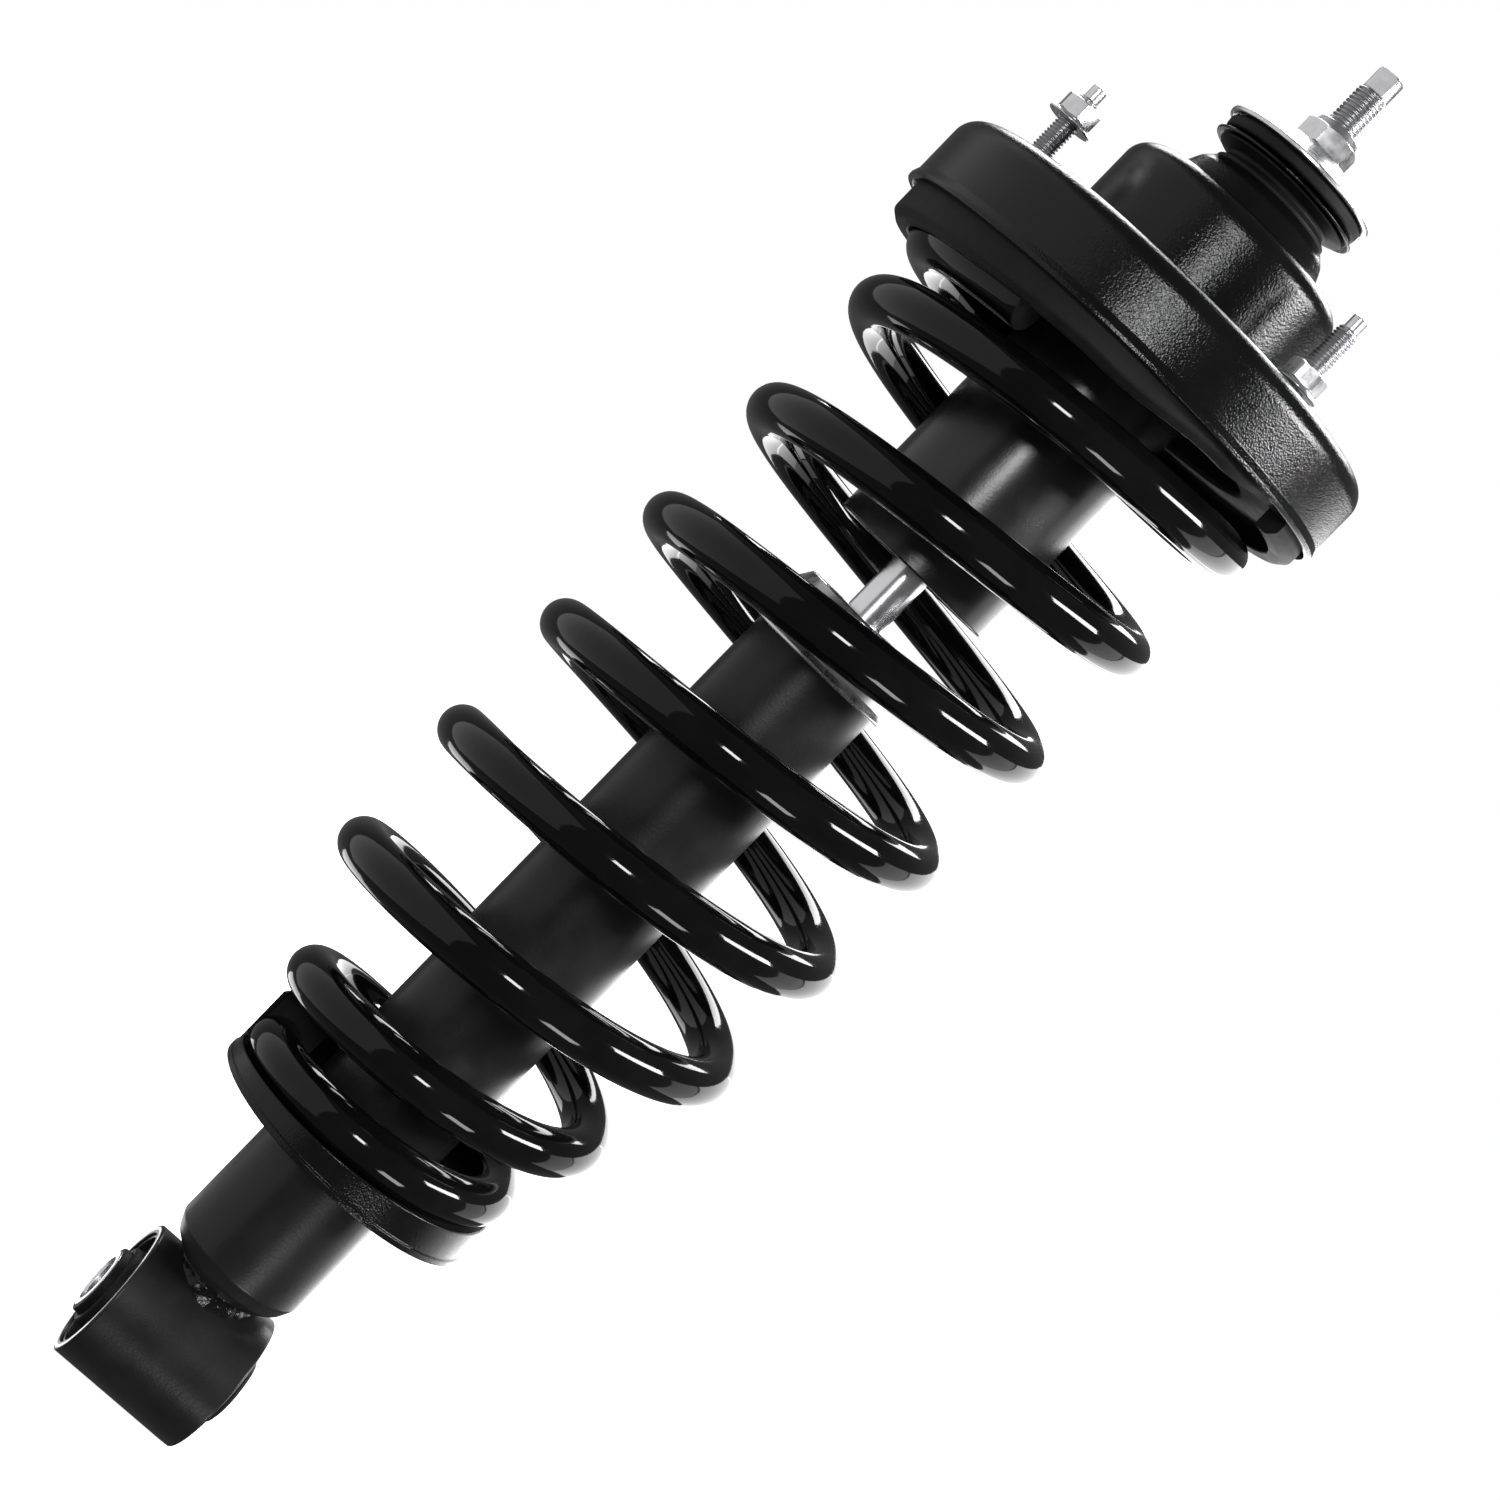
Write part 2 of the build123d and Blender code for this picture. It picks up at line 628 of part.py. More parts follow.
def single_parts():
    makers = [
        lower_eye, eye_weld_bead, lower_bush_shell, lower_bush_rubber, lower_bush_sleeve,
        base_cup, reserve_tube, base_valve, pressure_tube, rod_guide, rod_seal, striker_cap,
        lower_spring_seat, seat_weld_bead, lower_spring_insulator, coil_spring,
        piston_rod, piston, piston_band, piston_nut, rebound_stop, bump_stop, dust_cover,
        bump_stop_spacer, support_washer, inner_sleeve, cup_washer, upper_cushion,
        dished_washer, rod_nut, upper_spring_seat, mount_tower, neck_shell, lower_cushion,
        upper_spring_isolator,
    ]
    return {maker.__name__: maker() for maker in makers}


def stud_parts():
    parts = {}
    for index in range(STUD_COUNT):
        parts[f"mount_stud_{index + 1}"] = mount_stud(index)
        parts[f"stud_washer_{index + 1}"] = stud_washer(index)
        parts[f"stud_nut_{index + 1}"] = stud_nut(index)
    return parts


os.makedirs("parts", exist_ok=True)
for name, shape in {**single_parts(), **stud_parts()}.items():
    export_step(shape, f"parts/{name}.step")
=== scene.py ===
import json
import math

import bmesh
import bpy
from mathutils import Matrix, Vector, noise

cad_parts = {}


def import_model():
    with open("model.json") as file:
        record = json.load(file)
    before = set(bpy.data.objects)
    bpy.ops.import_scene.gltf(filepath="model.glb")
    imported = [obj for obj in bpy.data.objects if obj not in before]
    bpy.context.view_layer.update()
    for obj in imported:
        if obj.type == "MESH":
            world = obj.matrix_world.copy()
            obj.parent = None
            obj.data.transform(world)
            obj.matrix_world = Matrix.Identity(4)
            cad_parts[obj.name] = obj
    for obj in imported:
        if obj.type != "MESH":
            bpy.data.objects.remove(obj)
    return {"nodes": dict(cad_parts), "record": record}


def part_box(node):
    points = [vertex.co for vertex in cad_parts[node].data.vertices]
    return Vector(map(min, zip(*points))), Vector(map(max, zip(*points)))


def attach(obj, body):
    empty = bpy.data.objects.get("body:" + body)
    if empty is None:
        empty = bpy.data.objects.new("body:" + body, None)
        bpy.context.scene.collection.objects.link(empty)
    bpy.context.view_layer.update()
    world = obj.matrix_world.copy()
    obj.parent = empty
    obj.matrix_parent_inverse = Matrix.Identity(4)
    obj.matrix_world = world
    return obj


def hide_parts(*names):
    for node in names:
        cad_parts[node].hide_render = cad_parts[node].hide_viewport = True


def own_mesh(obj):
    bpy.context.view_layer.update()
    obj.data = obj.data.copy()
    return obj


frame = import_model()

# The object's lengths are in millimetres, and MM turns them into the frame's metres.
# Bumps, the floor and the lamps are in metres.
MM = 0.001
TURN = 2 * math.pi
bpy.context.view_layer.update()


def low(node, axis=2):
    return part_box(node)[0][axis] / MM


def high(node, axis=2):
    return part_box(node)[1][axis] / MM


def radius(node):
    """The outer radius of a round node: half its width along Y."""
    return (high(node, 1) - low(node, 1)) / 2


# ------------------------------------------------------------------ mesh tools

LONGEST_REACH = 0.45  # share of a side that one rounded corner may take up
AXIS_R = 0.02  # radius at which a solid of revolution is capped beside its axis
NUT_SHARP_DEG = 28.0  # faces of a nut that meet at more than this are not shaded as one

# The thread's depth is a share of its pitch. Its wave, cut off at 0 and 1, runs from root to crest.
THREAD_DEPTH = 0.61
WAVE_HEIGHT = 1.45
WAVE_DROP = 0.2


def corner_points(point, before, after, corner, steps, support):
    """The arc that rounds one corner of an outline, with a support point at each end."""
    to_before = before - point
    to_after = after - point
    half = to_before.angle(to_after) / 2
    longest = LONGEST_REACH * min(to_before.length, to_after.length)
    reach = min(corner / math.tan(half), longest)
    arc_r = reach * math.tan(half)
    to_before.normalize()
    to_after.normalize()
    centre = point + (to_before + to_after).normalized() * (arc_r / math.sin(half))
    first = point + to_before * reach - centre
    last = point + to_after * reach - centre
    sweep = math.atan2(first.x * last.y - first.y * last.x, first.dot(last))
    points = [centre + first + to_before * support]
    for step in range(steps + 1):
        turned = Matrix.Rotation(sweep * step / steps, 2) @ first
        points.append(centre + turned)
    points.append(centre + last + to_after * support)
    return points


def rounded(outline, steps=5, closed=True, support=0.12):
    """An outline of (radius, height, corner radius) points with its corners rounded."""
    flat = [Vector(p[:2]) for p in outline]
    count = len(flat)
    points = []
    for i, point in enumerate(flat):
        corner = outline[i][2] if len(outline[i]) > 2 else 0
        at_end = not closed and i in (0, count - 1)
        if corner and not at_end:
            before = flat[i - 1]
            after = flat[(i + 1) % count]
            points += corner_points(point, before, after, corner, steps, support)
        else:
            points.append(point)
    return points


def grid_faces(offset, rows, columns, wrap_rows, wrap_columns, caps):
    """Quads over rows of vertices, and a face over each open end."""
    faces = []
    for i in range(rows if wrap_rows else rows - 1):
        for j in range(columns if wrap_columns else columns - 1):
            a = offset + i * columns + j
            b = offset + i * columns + (j + 1) % columns
            c = offset + (i + 1) % rows * columns + (j + 1) % columns
            d = offset + (i + 1) % rows * columns + j
            faces.append((a, b, c, d))
    if caps and not wrap_rows:
        faces.append(tuple(offset + j for j in reversed(range(columns))))
        faces.append(tuple(offset + (rows - 1) * columns + j for j in range(columns)))
    return faces


def make_piece(name, surfaces, body, slot, replaced=(), sharp_deg=40):
    """An object from grids of points: each surface is (rows, wrap_rows, wrap_columns, caps)."""
    vertices = []
    faces = []
    for rows, wrap_rows, wrap_columns, caps in surfaces:
        faces += grid_faces(len(vertices), len(rows), len(rows[0]), wrap_rows, wrap_columns, caps)
        vertices += [Vector(p) * MM for row in rows for p in row]
    mesh = bpy.data.meshes.new(name)
    mesh.from_pydata(vertices, [], faces)
    mesh.validate()
    mesh.shade_smooth()
    mesh.set_sharp_from_angle(angle=math.radians(sharp_deg))
    piece = bpy.data.objects.new(name, mesh)
    bpy.context.scene.collection.objects.link(piece)
    mesh.materials.append(MATERIALS[slot])
    fix_normals(piece)
    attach(piece, body)
    if replaced:
        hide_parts(*replaced)
    return piece


def recolour(piece, material, bottom, top):
    """Give the faces of a piece between two heights another material."""
    piece.data.materials.append(MATERIALS[material])
    index = len(piece.data.materials) - 1
    for face in piece.data.polygons:
        if bottom * MM < face.center.z <= top * MM:
            face.material_index = index


def fix_normals(piece):
    """Turn every face of a closed mesh outwards."""
    work = bmesh.new()
    work.from_mesh(piece.data)
    bmesh.ops.recalc_face_normals(work, faces=work.faces)
    work.to_mesh(piece.data)
    work.free()


def ring(r, z, steps):
    return [(r * math.cos(TURN * k / steps), r * math.sin(TURN * k / steps), z) for k in range(steps)]


def lathe(outline, steps=160):
    """A closed outline turned round Z."""
    rows = [ring(p[0], p[1], steps) for p in outline]
    return rows, True, True, False


def turned_solid(outline, steps):
    """An open outline turned round Z, with its two ends capped beside the axis."""
    rows = [ring(max(p[0], AXIS_R), p[1], steps) for p in outline]
    return rows, False, True, True


def turned_to_x(surface):
    """The same surface with its Z axis laid along X."""
    rows, wrap_rows, wrap_columns, caps = surface
    return [[(z, y, -x) for x, y, z in row] for row in rows], wrap_rows, wrap_columns, caps


def moved(surface, x, y):
    rows, wrap_rows, wrap_columns, caps = surface
    shifted = [[(px + x, py + y, pz) for px, py, pz in row] for row in rows]
    return shifted, wrap_rows, wrap_columns, caps


def spun(surface, degrees):
    rows, wrap_rows, wrap_columns, caps = surface
    cosine = math.cos(math.radians(degrees))
    sine = math.sin(math.radians(degrees))
    turned = [[(x * cosine - y * sine, x * sine + y * cosine, z) for x, y, z in row] for row in rows]
    return turned, wrap_rows, wrap_columns, caps


def shaped_column(profile, radius_at, steps=96):
    """A column whose radius depends on the angle too: profile is (limit, height) points."""
    rows = []
    for limit, z in profile:
        row = []
        for k in range(steps):
            angle = TURN * k / steps
            r = radius_at(limit, angle)
            row.append((r * math.cos(angle), r * math.sin(angle), z))
        rows.append(row)
    return rows, False, True, True


def thread(major, pitch, bottom, top, steps=56, per_pitch=10):
    """A right-hand thread, with its crest and root flattened as on a rolled thread."""
    depth = THREAD_DEPTH * pitch
    rows = []
    count = round((top - bottom) / pitch * per_pitch)
    for i in range(count + 1):
        z = bottom + (top - bottom) * i / count
        runout = min(1.0, (z - bottom) / pitch, (top - z) / pitch)
        row = []
        for k in range(steps):
            phase = (z / pitch - k / steps) % 1.0
            wave = min(1.0, max(0.0, WAVE_HEIGHT * abs(2 * phase - 1) - WAVE_DROP))
            r = major - depth * (1 - wave * runout)
            row.append((r * math.cos(TURN * k / steps), r * math.sin(TURN * k / steps), z))
        rows.append(row)
    return rows, False, True, True


def hex_nut(flats, bore_r, bottom, top, per_side=8):
    """A hexagonal nut with chamfered corners at both ends and a countersunk bore."""
    half = flats / 2
    crest = half * 0.97
    corner_cut = 0.12
    steps = 6 * per_side
    slope = math.tan(math.radians(30))
    edge = 0.25
    countersink_below = 0.5
    countersink_above = 0.6

    def side(angle):
        folded = (angle + math.pi / 6) % (math.pi / 3) - math.pi / 6
        return min(half / math.cos(folded), half / math.cos(math.pi / 6) - corner_cut)

    def level(r_at, z_at):
        row = []
        for k in range(steps):
            angle = TURN * k / steps
            r = r_at(angle)
            row.append((r * math.cos(angle), r * math.sin(angle), z_at(angle)))
        return row

    def drop(angle):
        return max(0.0, side(angle) - crest) * slope

    rows = [
        level(lambda a: bore_r, lambda a: bottom + countersink_below),
        level(lambda a: bore_r + countersink_below, lambda a: bottom),
        level(lambda a: crest, lambda a: bottom),
        level(side, lambda a: bottom + drop(a)),
        level(side, lambda a: bottom + drop(a) + edge),
        level(side, lambda a: top - drop(a) - edge),
        level(side, lambda a: top - drop(a)),
        level(lambda a: crest, lambda a: top),
        level(lambda a: bore_r + countersink_above, lambda a: top),
        level(lambda a: bore_r, lambda a: top - countersink_above),
    ]
    return rows, True, True, False


def bead(centre_line, thickness, ripple, seed, steps=14):
    """A weld bead along a closed line of (centre, outward) points, with stacked ripples."""
    slimmest = 0.88
    swell = 0.14
    wander = 0.13
    rows = []
    count = len(centre_line)
    for i, (centre, outward) in enumerate(centre_line):
        ahead = centre_line[(i + 1) % count][0]
        behind = centre_line[i - 1][0]
        along = (ahead - behind).normalized()
        side = along.cross(outward).normalized()
        up = side.cross(along)
        scallop = abs(math.sin(math.pi * i / ripple))
        wobble = noise.noise(Vector((seed, i * wander, 0.0)))
        r = thickness * (slimmest + swell * scallop + swell * wobble)
        row = []
        for k in range(steps):
            angle = TURN * k / steps
            row.append(centre + (side * math.cos(angle) + up * math.sin(angle)) * r)
        rows.append(row)
    return rows, True, True, False


# ------------------------------------------------------------------ materials

# Noise at or below the first gives a material's first colour and roughness, at or above the second its last
NOISE_LOW = 0.3
NOISE_HIGH = 0.7

COAT_ROUGHNESS = 0.07
COAT_IOR = 1.33
UNCOATED_SPECULAR = 0.26
COAT_PEEL_SHARE = 0.6

# Bump distances
COARSE_BUMP = 0.0004
FINE_BUMP = 0.0002


def new_material(name):
    material = bpy.data.materials.new(name)
    material.use_nodes = True
    nodes = material.node_tree.nodes
    shader = nodes["Principled BSDF"]
    return material, nodes, material.node_tree.links, shader


def surface_noise(nodes, links, scale, detail, roughness=0.5):
    place = nodes.new("ShaderNodeTexCoord")
    texture = nodes.new("ShaderNodeTexNoise")
    texture.inputs["Scale"].default_value = scale
    texture.inputs["Detail"].default_value = detail
    texture.inputs["Roughness"].default_value = roughness
    links.new(place.outputs["Object"], texture.inputs["Vector"])
    return texture.outputs["Fac"]


def mapped(nodes, links, value, lowest, highest):
    node = nodes.new("ShaderNodeMapRange")
    node.inputs["From Min"].default_value = NOISE_LOW
    node.inputs["From Max"].default_value = NOISE_HIGH
    node.inputs["To Min"].default_value = lowest
    node.inputs["To Max"].default_value = highest
    links.new(value, node.inputs["Value"])
    return node.outputs["Result"]


def tinted(nodes, links, value, dark, light):
    ramp = nodes.new("ShaderNodeValToRGB")
    ramp.color_ramp.elements[0].position = NOISE_LOW
    ramp.color_ramp.elements[0].color = (*dark, 1)
    ramp.color_ramp.elements[1].position = NOISE_HIGH
    ramp.color_ramp.elements[1].color = (*light, 1)
    links.new(value, ramp.inputs["Fac"])
    return ramp.outputs["Color"]


def bumped(nodes, links, shader, value, strength, distance, socket="Normal"):
    bump = nodes.new("ShaderNodeBump")
    bump.inputs["Strength"].default_value = strength
    bump.inputs["Distance"].default_value = distance
    links.new(value, bump.inputs["Height"])
    links.new(bump.outputs["Normal"], shader.inputs[socket])


def paint(name, dark, light, rough, coat, peel_scale, peel_strength):
    """Black enamel: a slightly uneven colour under a clear, faintly rippled coat."""
    material, nodes, links, shader = new_material(name)
    cloud = surface_noise(nodes, links, scale=60, detail=3)
    links.new(tinted(nodes, links, cloud, dark, light), shader.inputs["Base Color"])
    links.new(mapped(nodes, links, cloud, *rough), shader.inputs["Roughness"])
    shader.inputs["Coat Weight"].default_value = coat
    shader.inputs["Coat Roughness"].default_value = COAT_ROUGHNESS
    shader.inputs["Coat IOR"].default_value = COAT_IOR
    shader.inputs["Specular IOR Level"].default_value = UNCOATED_SPECULAR * (1 - coat)
    peel = surface_noise(nodes, links, peel_scale, detail=2)
    bumped(nodes, links, shader, peel, peel_strength, COARSE_BUMP)
    if coat:
        bumped(nodes, links, shader, peel, peel_strength * COAT_PEEL_SHARE, COARSE_BUMP, "Coat Normal")
    return material


def metal(name, dark, light, rough, grain_scale, grain_strength):
    """Bare or plated metal with a fine, patchy finish."""
    material, nodes, links, shader = new_material(name)
    cloud = surface_noise(nodes, links, scale=220, detail=5, roughness=0.6)
    links.new(tinted(nodes, links, cloud, dark, light), shader.inputs["Base Color"])
    links.new(mapped(nodes, links, cloud, *rough), shader.inputs["Roughness"])
    shader.inputs["Metallic"].default_value = 1.0
    grain = surface_noise(nodes, links, grain_scale, detail=4)
    bumped(nodes, links, shader, grain, grain_strength, FINE_BUMP)
    return material


def soft(name, dark, light, rough, shine, grain_scale, grain_strength):
    """Rubber, foam or matte plastic, with a fine grain and dusty patches."""
    material, nodes, links, shader = new_material(name)
    cloud = surface_noise(nodes, links, scale=90, detail=5, roughness=0.6)
    links.new(tinted(nodes, links, cloud, dark, light), shader.inputs["Base Color"])
    links.new(mapped(nodes, links, cloud, *rough), shader.inputs["Roughness"])
    shader.inputs["Specular IOR Level"].default_value = shine
    grain = surface_noise(nodes, links, grain_scale, detail=4)
    bumped(nodes, links, shader, grain, grain_strength, COARSE_BUMP)
    return material


def grey(value):
    """A neutral grey with a trace of blue."""
    return (value, value, value * 1.02)


# Each row gives the darkest and lightest colour and the range of roughness. A paint adds its coat and the
# scale and strength of its orange peel, a metal its grain, and a soft material its shine and grain.
MATERIALS = {
    "spring_enamel": paint("spring_enamel", grey(0.002), grey(0.004), (0.16, 0.22), 1.0, 420, 0.04),
    "gloss_black_paint": paint(
        "gloss_black_paint", grey(0.003), grey(0.005), (0.13, 0.18), 0.0, 1500, 0.36
    ),
    "satin_black_paint": paint(
        "satin_black_paint", grey(0.008), grey(0.013), (0.29, 0.35), 0.0, 900, 0.10
    ),
    "zinc_plate": metal("zinc_plate", grey(0.62), grey(0.80), (0.24, 0.36), 1600, 0.04),
    "hard_chrome": metal("hard_chrome", grey(0.74), grey(0.80), (0.18, 0.24), 1500, 0.02),
    "bare_steel": metal("bare_steel", grey(0.36), grey(0.48), (0.30, 0.42), 1800, 0.12),
    "aluminium_casting": metal(
        "aluminium_casting", grey(0.50), grey(0.62), (0.38, 0.50), 900, 0.25
    ),
    "black_rubber": soft("black_rubber", grey(0.006), grey(0.011), (0.50, 0.64), 0.14, 2200, 0.22),
    "seal_rubber": soft(
        "seal_rubber", (0.020, 0.016, 0.014), (0.030, 0.024, 0.022), (0.5, 0.6), 0.25, 2400, 0.2
    ),
    "buffer_foam": soft(
        "buffer_foam", (0.16, 0.13, 0.07), (0.22, 0.18, 0.10), (0.75, 0.9), 0.2, 1800, 0.5
    ),
    "cover_plastic": soft("cover_plastic", grey(0.006), grey(0.010), (0.22, 0.28), 0.45, 1600, 0.10),
    "band_plastic": soft(
        "band_plastic", (0.10, 0.07, 0.04), (0.14, 0.10, 0.06), (0.4, 0.5), 0.25, 1500, 0.1
    ),
}


def paint_cad_nodes():
    """Every CAD node that still shows takes the material of its own slot."""
    for part in frame["record"]["subparts"]:
        node = frame["nodes"][part["node"]]
        node.data.materials.clear()
        node.data.materials.append(MATERIALS[part["material_slot"]])


# ------------------------------------------------------------------ lower eye and bush

EYE_WALL = 3.6
LINING_WALL = 1.4
RUBBER_GAP = 0.05
RUBBER_RECESS = 4.5
SLEEVE_BORE_R = 8.1
SLEEVE_CHAMFER = 0.9
COLLAR_WALL = 1.7
COLLAR_GAP = 0.02
EYE_WELD_FOOT_R = 16.8
EYE_WELD_WAIST = 1.6  # how much the weld narrows on its way up


def lower_eye():
    half = high("lower_eye", 0)
    outer = radius("lower_eye")
    inner = outer - EYE_WALL
    shell = rounded([(inner, -half, 0.5), (outer, -half, 0.9), (outer, half, 0.9), (inner, half, 0.5)])
    make_piece("eye_ring", [turned_to_x(lathe(shell))], "damper", "satin_black_paint", ["lower_eye"])
    lining_outer = radius("lower_bush_shell")
    lining_half = high("lower_bush_shell", 0)
    lining = rounded([
        (lining_outer - LINING_WALL, -lining_half, 0.4),
        (lining_outer, -lining_half, 0.4),
        (lining_outer, lining_half, 0.4),
        (lining_outer - LINING_WALL, lining_half, 0.4),
    ])
    make_piece(
        "bush_lining", [turned_to_x(lathe(lining))], "damper", "satin_black_paint", ["lower_bush_shell"]
    )


def bush_rubber():
    """The rubber is dished between its collar and the lining."""
    outer = radius("lower_bush_rubber")
    inner = radius("lower_bush_sleeve") + RUBBER_GAP
    collar_end = high("lower_bush_rubber", 0)
    recess = high("lower_bush_shell", 0) - RUBBER_RECESS
    face = [
        (inner, -collar_end, 0.5),
        (inner + 2.4, -collar_end, 1.2),
        (inner + 3.6, -recess, 2.0),
        (outer - 2.0, -recess, 1.6),
        (outer, -recess - 2.6, 0.4),
    ]
    mirrored = [(r, -x, corner) for r, x, corner in reversed(face)]
    outline = rounded(face + mirrored)
    make_piece(
        "bush_rubber", [turned_to_x(lathe(outline))], "damper", "black_rubber", ["lower_bush_rubber"]
    )


def bush_sleeve():
    """A steel sleeve with bright machined ends, in a rubber collar that turns with it."""
    outer = radius("lower_bush_sleeve")
    half = high("lower_bush_sleeve", 0)
    bore = SLEEVE_BORE_R
    chamfer = SLEEVE_CHAMFER
    skin = outer - COLLAR_WALL
    metal_ring = rounded([
        (bore, -half + chamfer, 0.15),
        (bore + chamfer, -half, 0.15),
        (skin, -half, 0.5),
        (skin, half, 0.5),
        (bore + chamfer, half, 0.15),
        (bore, half - chamfer, 0.15),
    ])
    make_piece(
        "bush_sleeve", [turned_to_x(lathe(metal_ring))], "bush_sleeve", "zinc_plate", ["lower_bush_sleeve"]
    )
    collar = rounded([
        (skin + COLLAR_GAP, -half + 0.35, 0.1),
        (outer - 0.4, -half + 0.5, 0.5),
        (outer, -half + 1.2, 0.6),
        (outer, half - 1.2, 0.6),
        (outer - 0.4, half - 0.5, 0.5),
        (skin + COLLAR_GAP, half - 0.35, 0.1),
    ])
    make_piece("sleeve_collar", [turned_to_x(lathe(collar))], "bush_sleeve", "black_rubber")


def eye_edge_highlight():
    """A bright plated-steel ring on each of the eye's cut ends, a painted highlight of the edge where it
    catches the light.
    """
    half = high("lower_eye", 0)
    outer = radius("lower_eye") - 0.9
    inner = radius("lower_eye") - 2.4
    sunk = half - 0.6
    proud = half + 0.03
    surfaces = []
    for side in (-1, 1):
        edge = rounded([
            (inner, side * sunk),
            (outer, side * sunk),
            (outer, side * proud, 0.2),
            (inner, side * proud, 0.2),
        ])
        surfaces.append(turned_to_x(lathe(edge)))
    # The bright zinc rings are a painted highlight along the eye's edges.
    make_piece("eye_edge_highlight", surfaces, "damper", "zinc_plate")


def eye_weld():
    """A rippled fillet of weld that climbs from the eye's curved top to the damper's base."""
    eye_r = radius("lower_eye")
    top = low("base_cup") + 1.2
    sunk = 0.5
    levels = 16
    columns = 180
    ripples = 24
    ripple_depth = 0.12
    lump_size = 1.1
    rows = []
    for level in range(levels + 1):
        t = level / levels
        row = []
        for k in range(columns):
            angle = TURN * k / columns
            spread = EYE_WELD_FOOT_R - EYE_WELD_WAIST * math.sin(math.pi * min(t * 1.25, 1.0) / 2)
            ripple = ripple_depth * math.sin(ripples * angle + 2.2 * t) * math.sin(math.pi * t)
            lump = lump_size * noise.noise(Vector((4 * math.cos(angle), 4 * math.sin(angle), 2.5 * t)))
            r = spread + ripple + lump * (1 - t)
            x = r * math.cos(angle)
            y = r * math.sin(angle)
            bottom = math.sqrt(eye_r ** 2 - y ** 2) - sunk
            row.append((x, y, bottom + (top - bottom) * t))
        rows.append(row)
    make_piece(
        "eye_weld", [(rows, False, True, True)], "damper",
        "gloss_black_paint", ["eye_weld_bead"], sharp_deg=80
    )


# ------------------------------------------------------------------ damper body

TUBE_WALL = 2.2
CAP_HOLE_R = 9.0


def damper_tube():
    outer = radius("reserve_tube")
    inner = outer - TUBE_WALL
    top = high("reserve_tube")
    seam = low("reserve_tube")
    bottom = low("base_cup")
    cup = rounded([
        (0.0, bottom),
        (18.0, bottom, 2.0),
        (outer - 2.6, bottom + 4.2, 6.0),
        (outer, bottom + 9.5, 2.5),
        (outer, seam),
        (inner, seam),
        (inner, bottom + 10.0, 2.0),
        (17.0, bottom + 3.5, 3.0),
        (0.0, bottom + 3.5),
    ], steps=10, closed=False)
    make_piece("cup_shell", [turned_solid(cup, 160)], "damper", "satin_black_paint", ["base_cup"])
    tube = [(inner, seam), (outer, seam), (outer, top), (inner, top)]
    make_piece("damper_tube", [lathe(rounded(tube))], "damper", "satin_black_paint", ["reserve_tube"])


def striker_cap():
    bottom = low("striker_cap")
    top = high("striker_cap")
    inner = radius("reserve_tube")
    outline = rounded([
        (inner, bottom, 0.3),
        (inner + 2.6, bottom, 0.5),
        (inner + 2.9, bottom + 1.0, 0.4),
        (inner + 0.9, bottom + 3.2, 1.4),
        (inner + 0.7, top - 5.2, 1.6),
        (inner - 2.5, top - 0.2, 1.2),
        (13.0, top, 2.0),
        (CAP_HOLE_R, top - 1.6, 0.5),
        (CAP_HOLE_R, high("reserve_tube")),
        (inner, high("reserve_tube")),
    ])
    make_piece("end_cap", [lathe(outline)], "damper", "zinc_plate", ["striker_cap"])


# ------------------------------------------------------------------ lower spring seat

SEAT_START_DEG = 170.0
SEAT_RISE = 19.8
SEAT_PLATE = 1.8
SEAT_LIP = 0.6  # how far the rolled lip stands out from the wall
SEAT_HUB_WALL = 2.4
SEAT_HUB_HEIGHT = 10.0
SEAT_WELD_THICKNESS = 2.6
SEAT_WELD_OFFSET = 0.8  # from the tube and from the seat to the middle of the bead
INSULATOR_INNER_R = 32.0
INSULATOR_RISE = 26.3
INSULATOR_LEAD_DEG = 5.0  # its step stands this far behind the wire's end


def climbing_surface(outline_at, start_deg, steps=220):
    """A closed outline carried round Z, changing with the angle, and capped where it steps."""
    rows = []
    for i in range(steps + 1):
        t = i / steps
        angle = math.radians(start_deg) + TURN * t
        outline = outline_at(t)
        rows.append([(p[0] * math.cos(angle), p[0] * math.sin(angle), p[1]) for p in outline])
    return rows, False, True, True


def lower_seat():
    bottom = low("lower_spring_seat")
    floor = bottom + SEAT_PLATE
    outer = radius("lower_spring_seat")
    wall = outer - SEAT_LIP
    tube = radius("reserve_tube")
    hub = tube + SEAT_HUB_WALL
    start_top = high("lower_spring_seat") - SEAT_RISE

    def outline_at(t):
        top = start_top + SEAT_RISE * t
        return rounded([
            (tube, bottom),
            (tube + 20, bottom, 1.0),
            (outer - 1.6, bottom, 0.7),
            (outer, bottom + 0.3, 0.5),
            (outer, bottom + 2.4, 0.5),
            (wall, bottom + 3.0, 0.6),
            (wall, top, 0.6),
            (outer - 2.0, top, 0.6),
            (outer - 2.0, floor, 1.2),
            (hub, floor, 1.0),
            (hub, floor + SEAT_HUB_HEIGHT, 0.8),
            (tube, floor + SEAT_HUB_HEIGHT),
        ])

    make_piece(
        "seat_pan", [climbing_surface(outline_at, SEAT_START_DEG)], "damper",
        "gloss_black_paint", ["lower_spring_seat"]
    )


def seat_weld():
    """A bead in the corner between the damper tube and the seat's underside."""
    r = radius("reserve_tube") + SEAT_WELD_OFFSET
    z = low("lower_spring_seat") - SEAT_WELD_OFFSET
    line = []
    count = 150
    for k in range(count):
        angle = TURN * k / count
        outward = Vector((math.cos(angle), math.sin(angle), -1)).normalized()
        centre = Vector((r * math.cos(angle), r * math.sin(angle), z))
        line.append((centre, outward))
    weld = bead(line, SEAT_WELD_THICKNESS, ripple=4.0, seed=9.1)
    make_piece("seat_weld", [weld], "damper", "satin_black_paint", ["seat_weld_bead"])


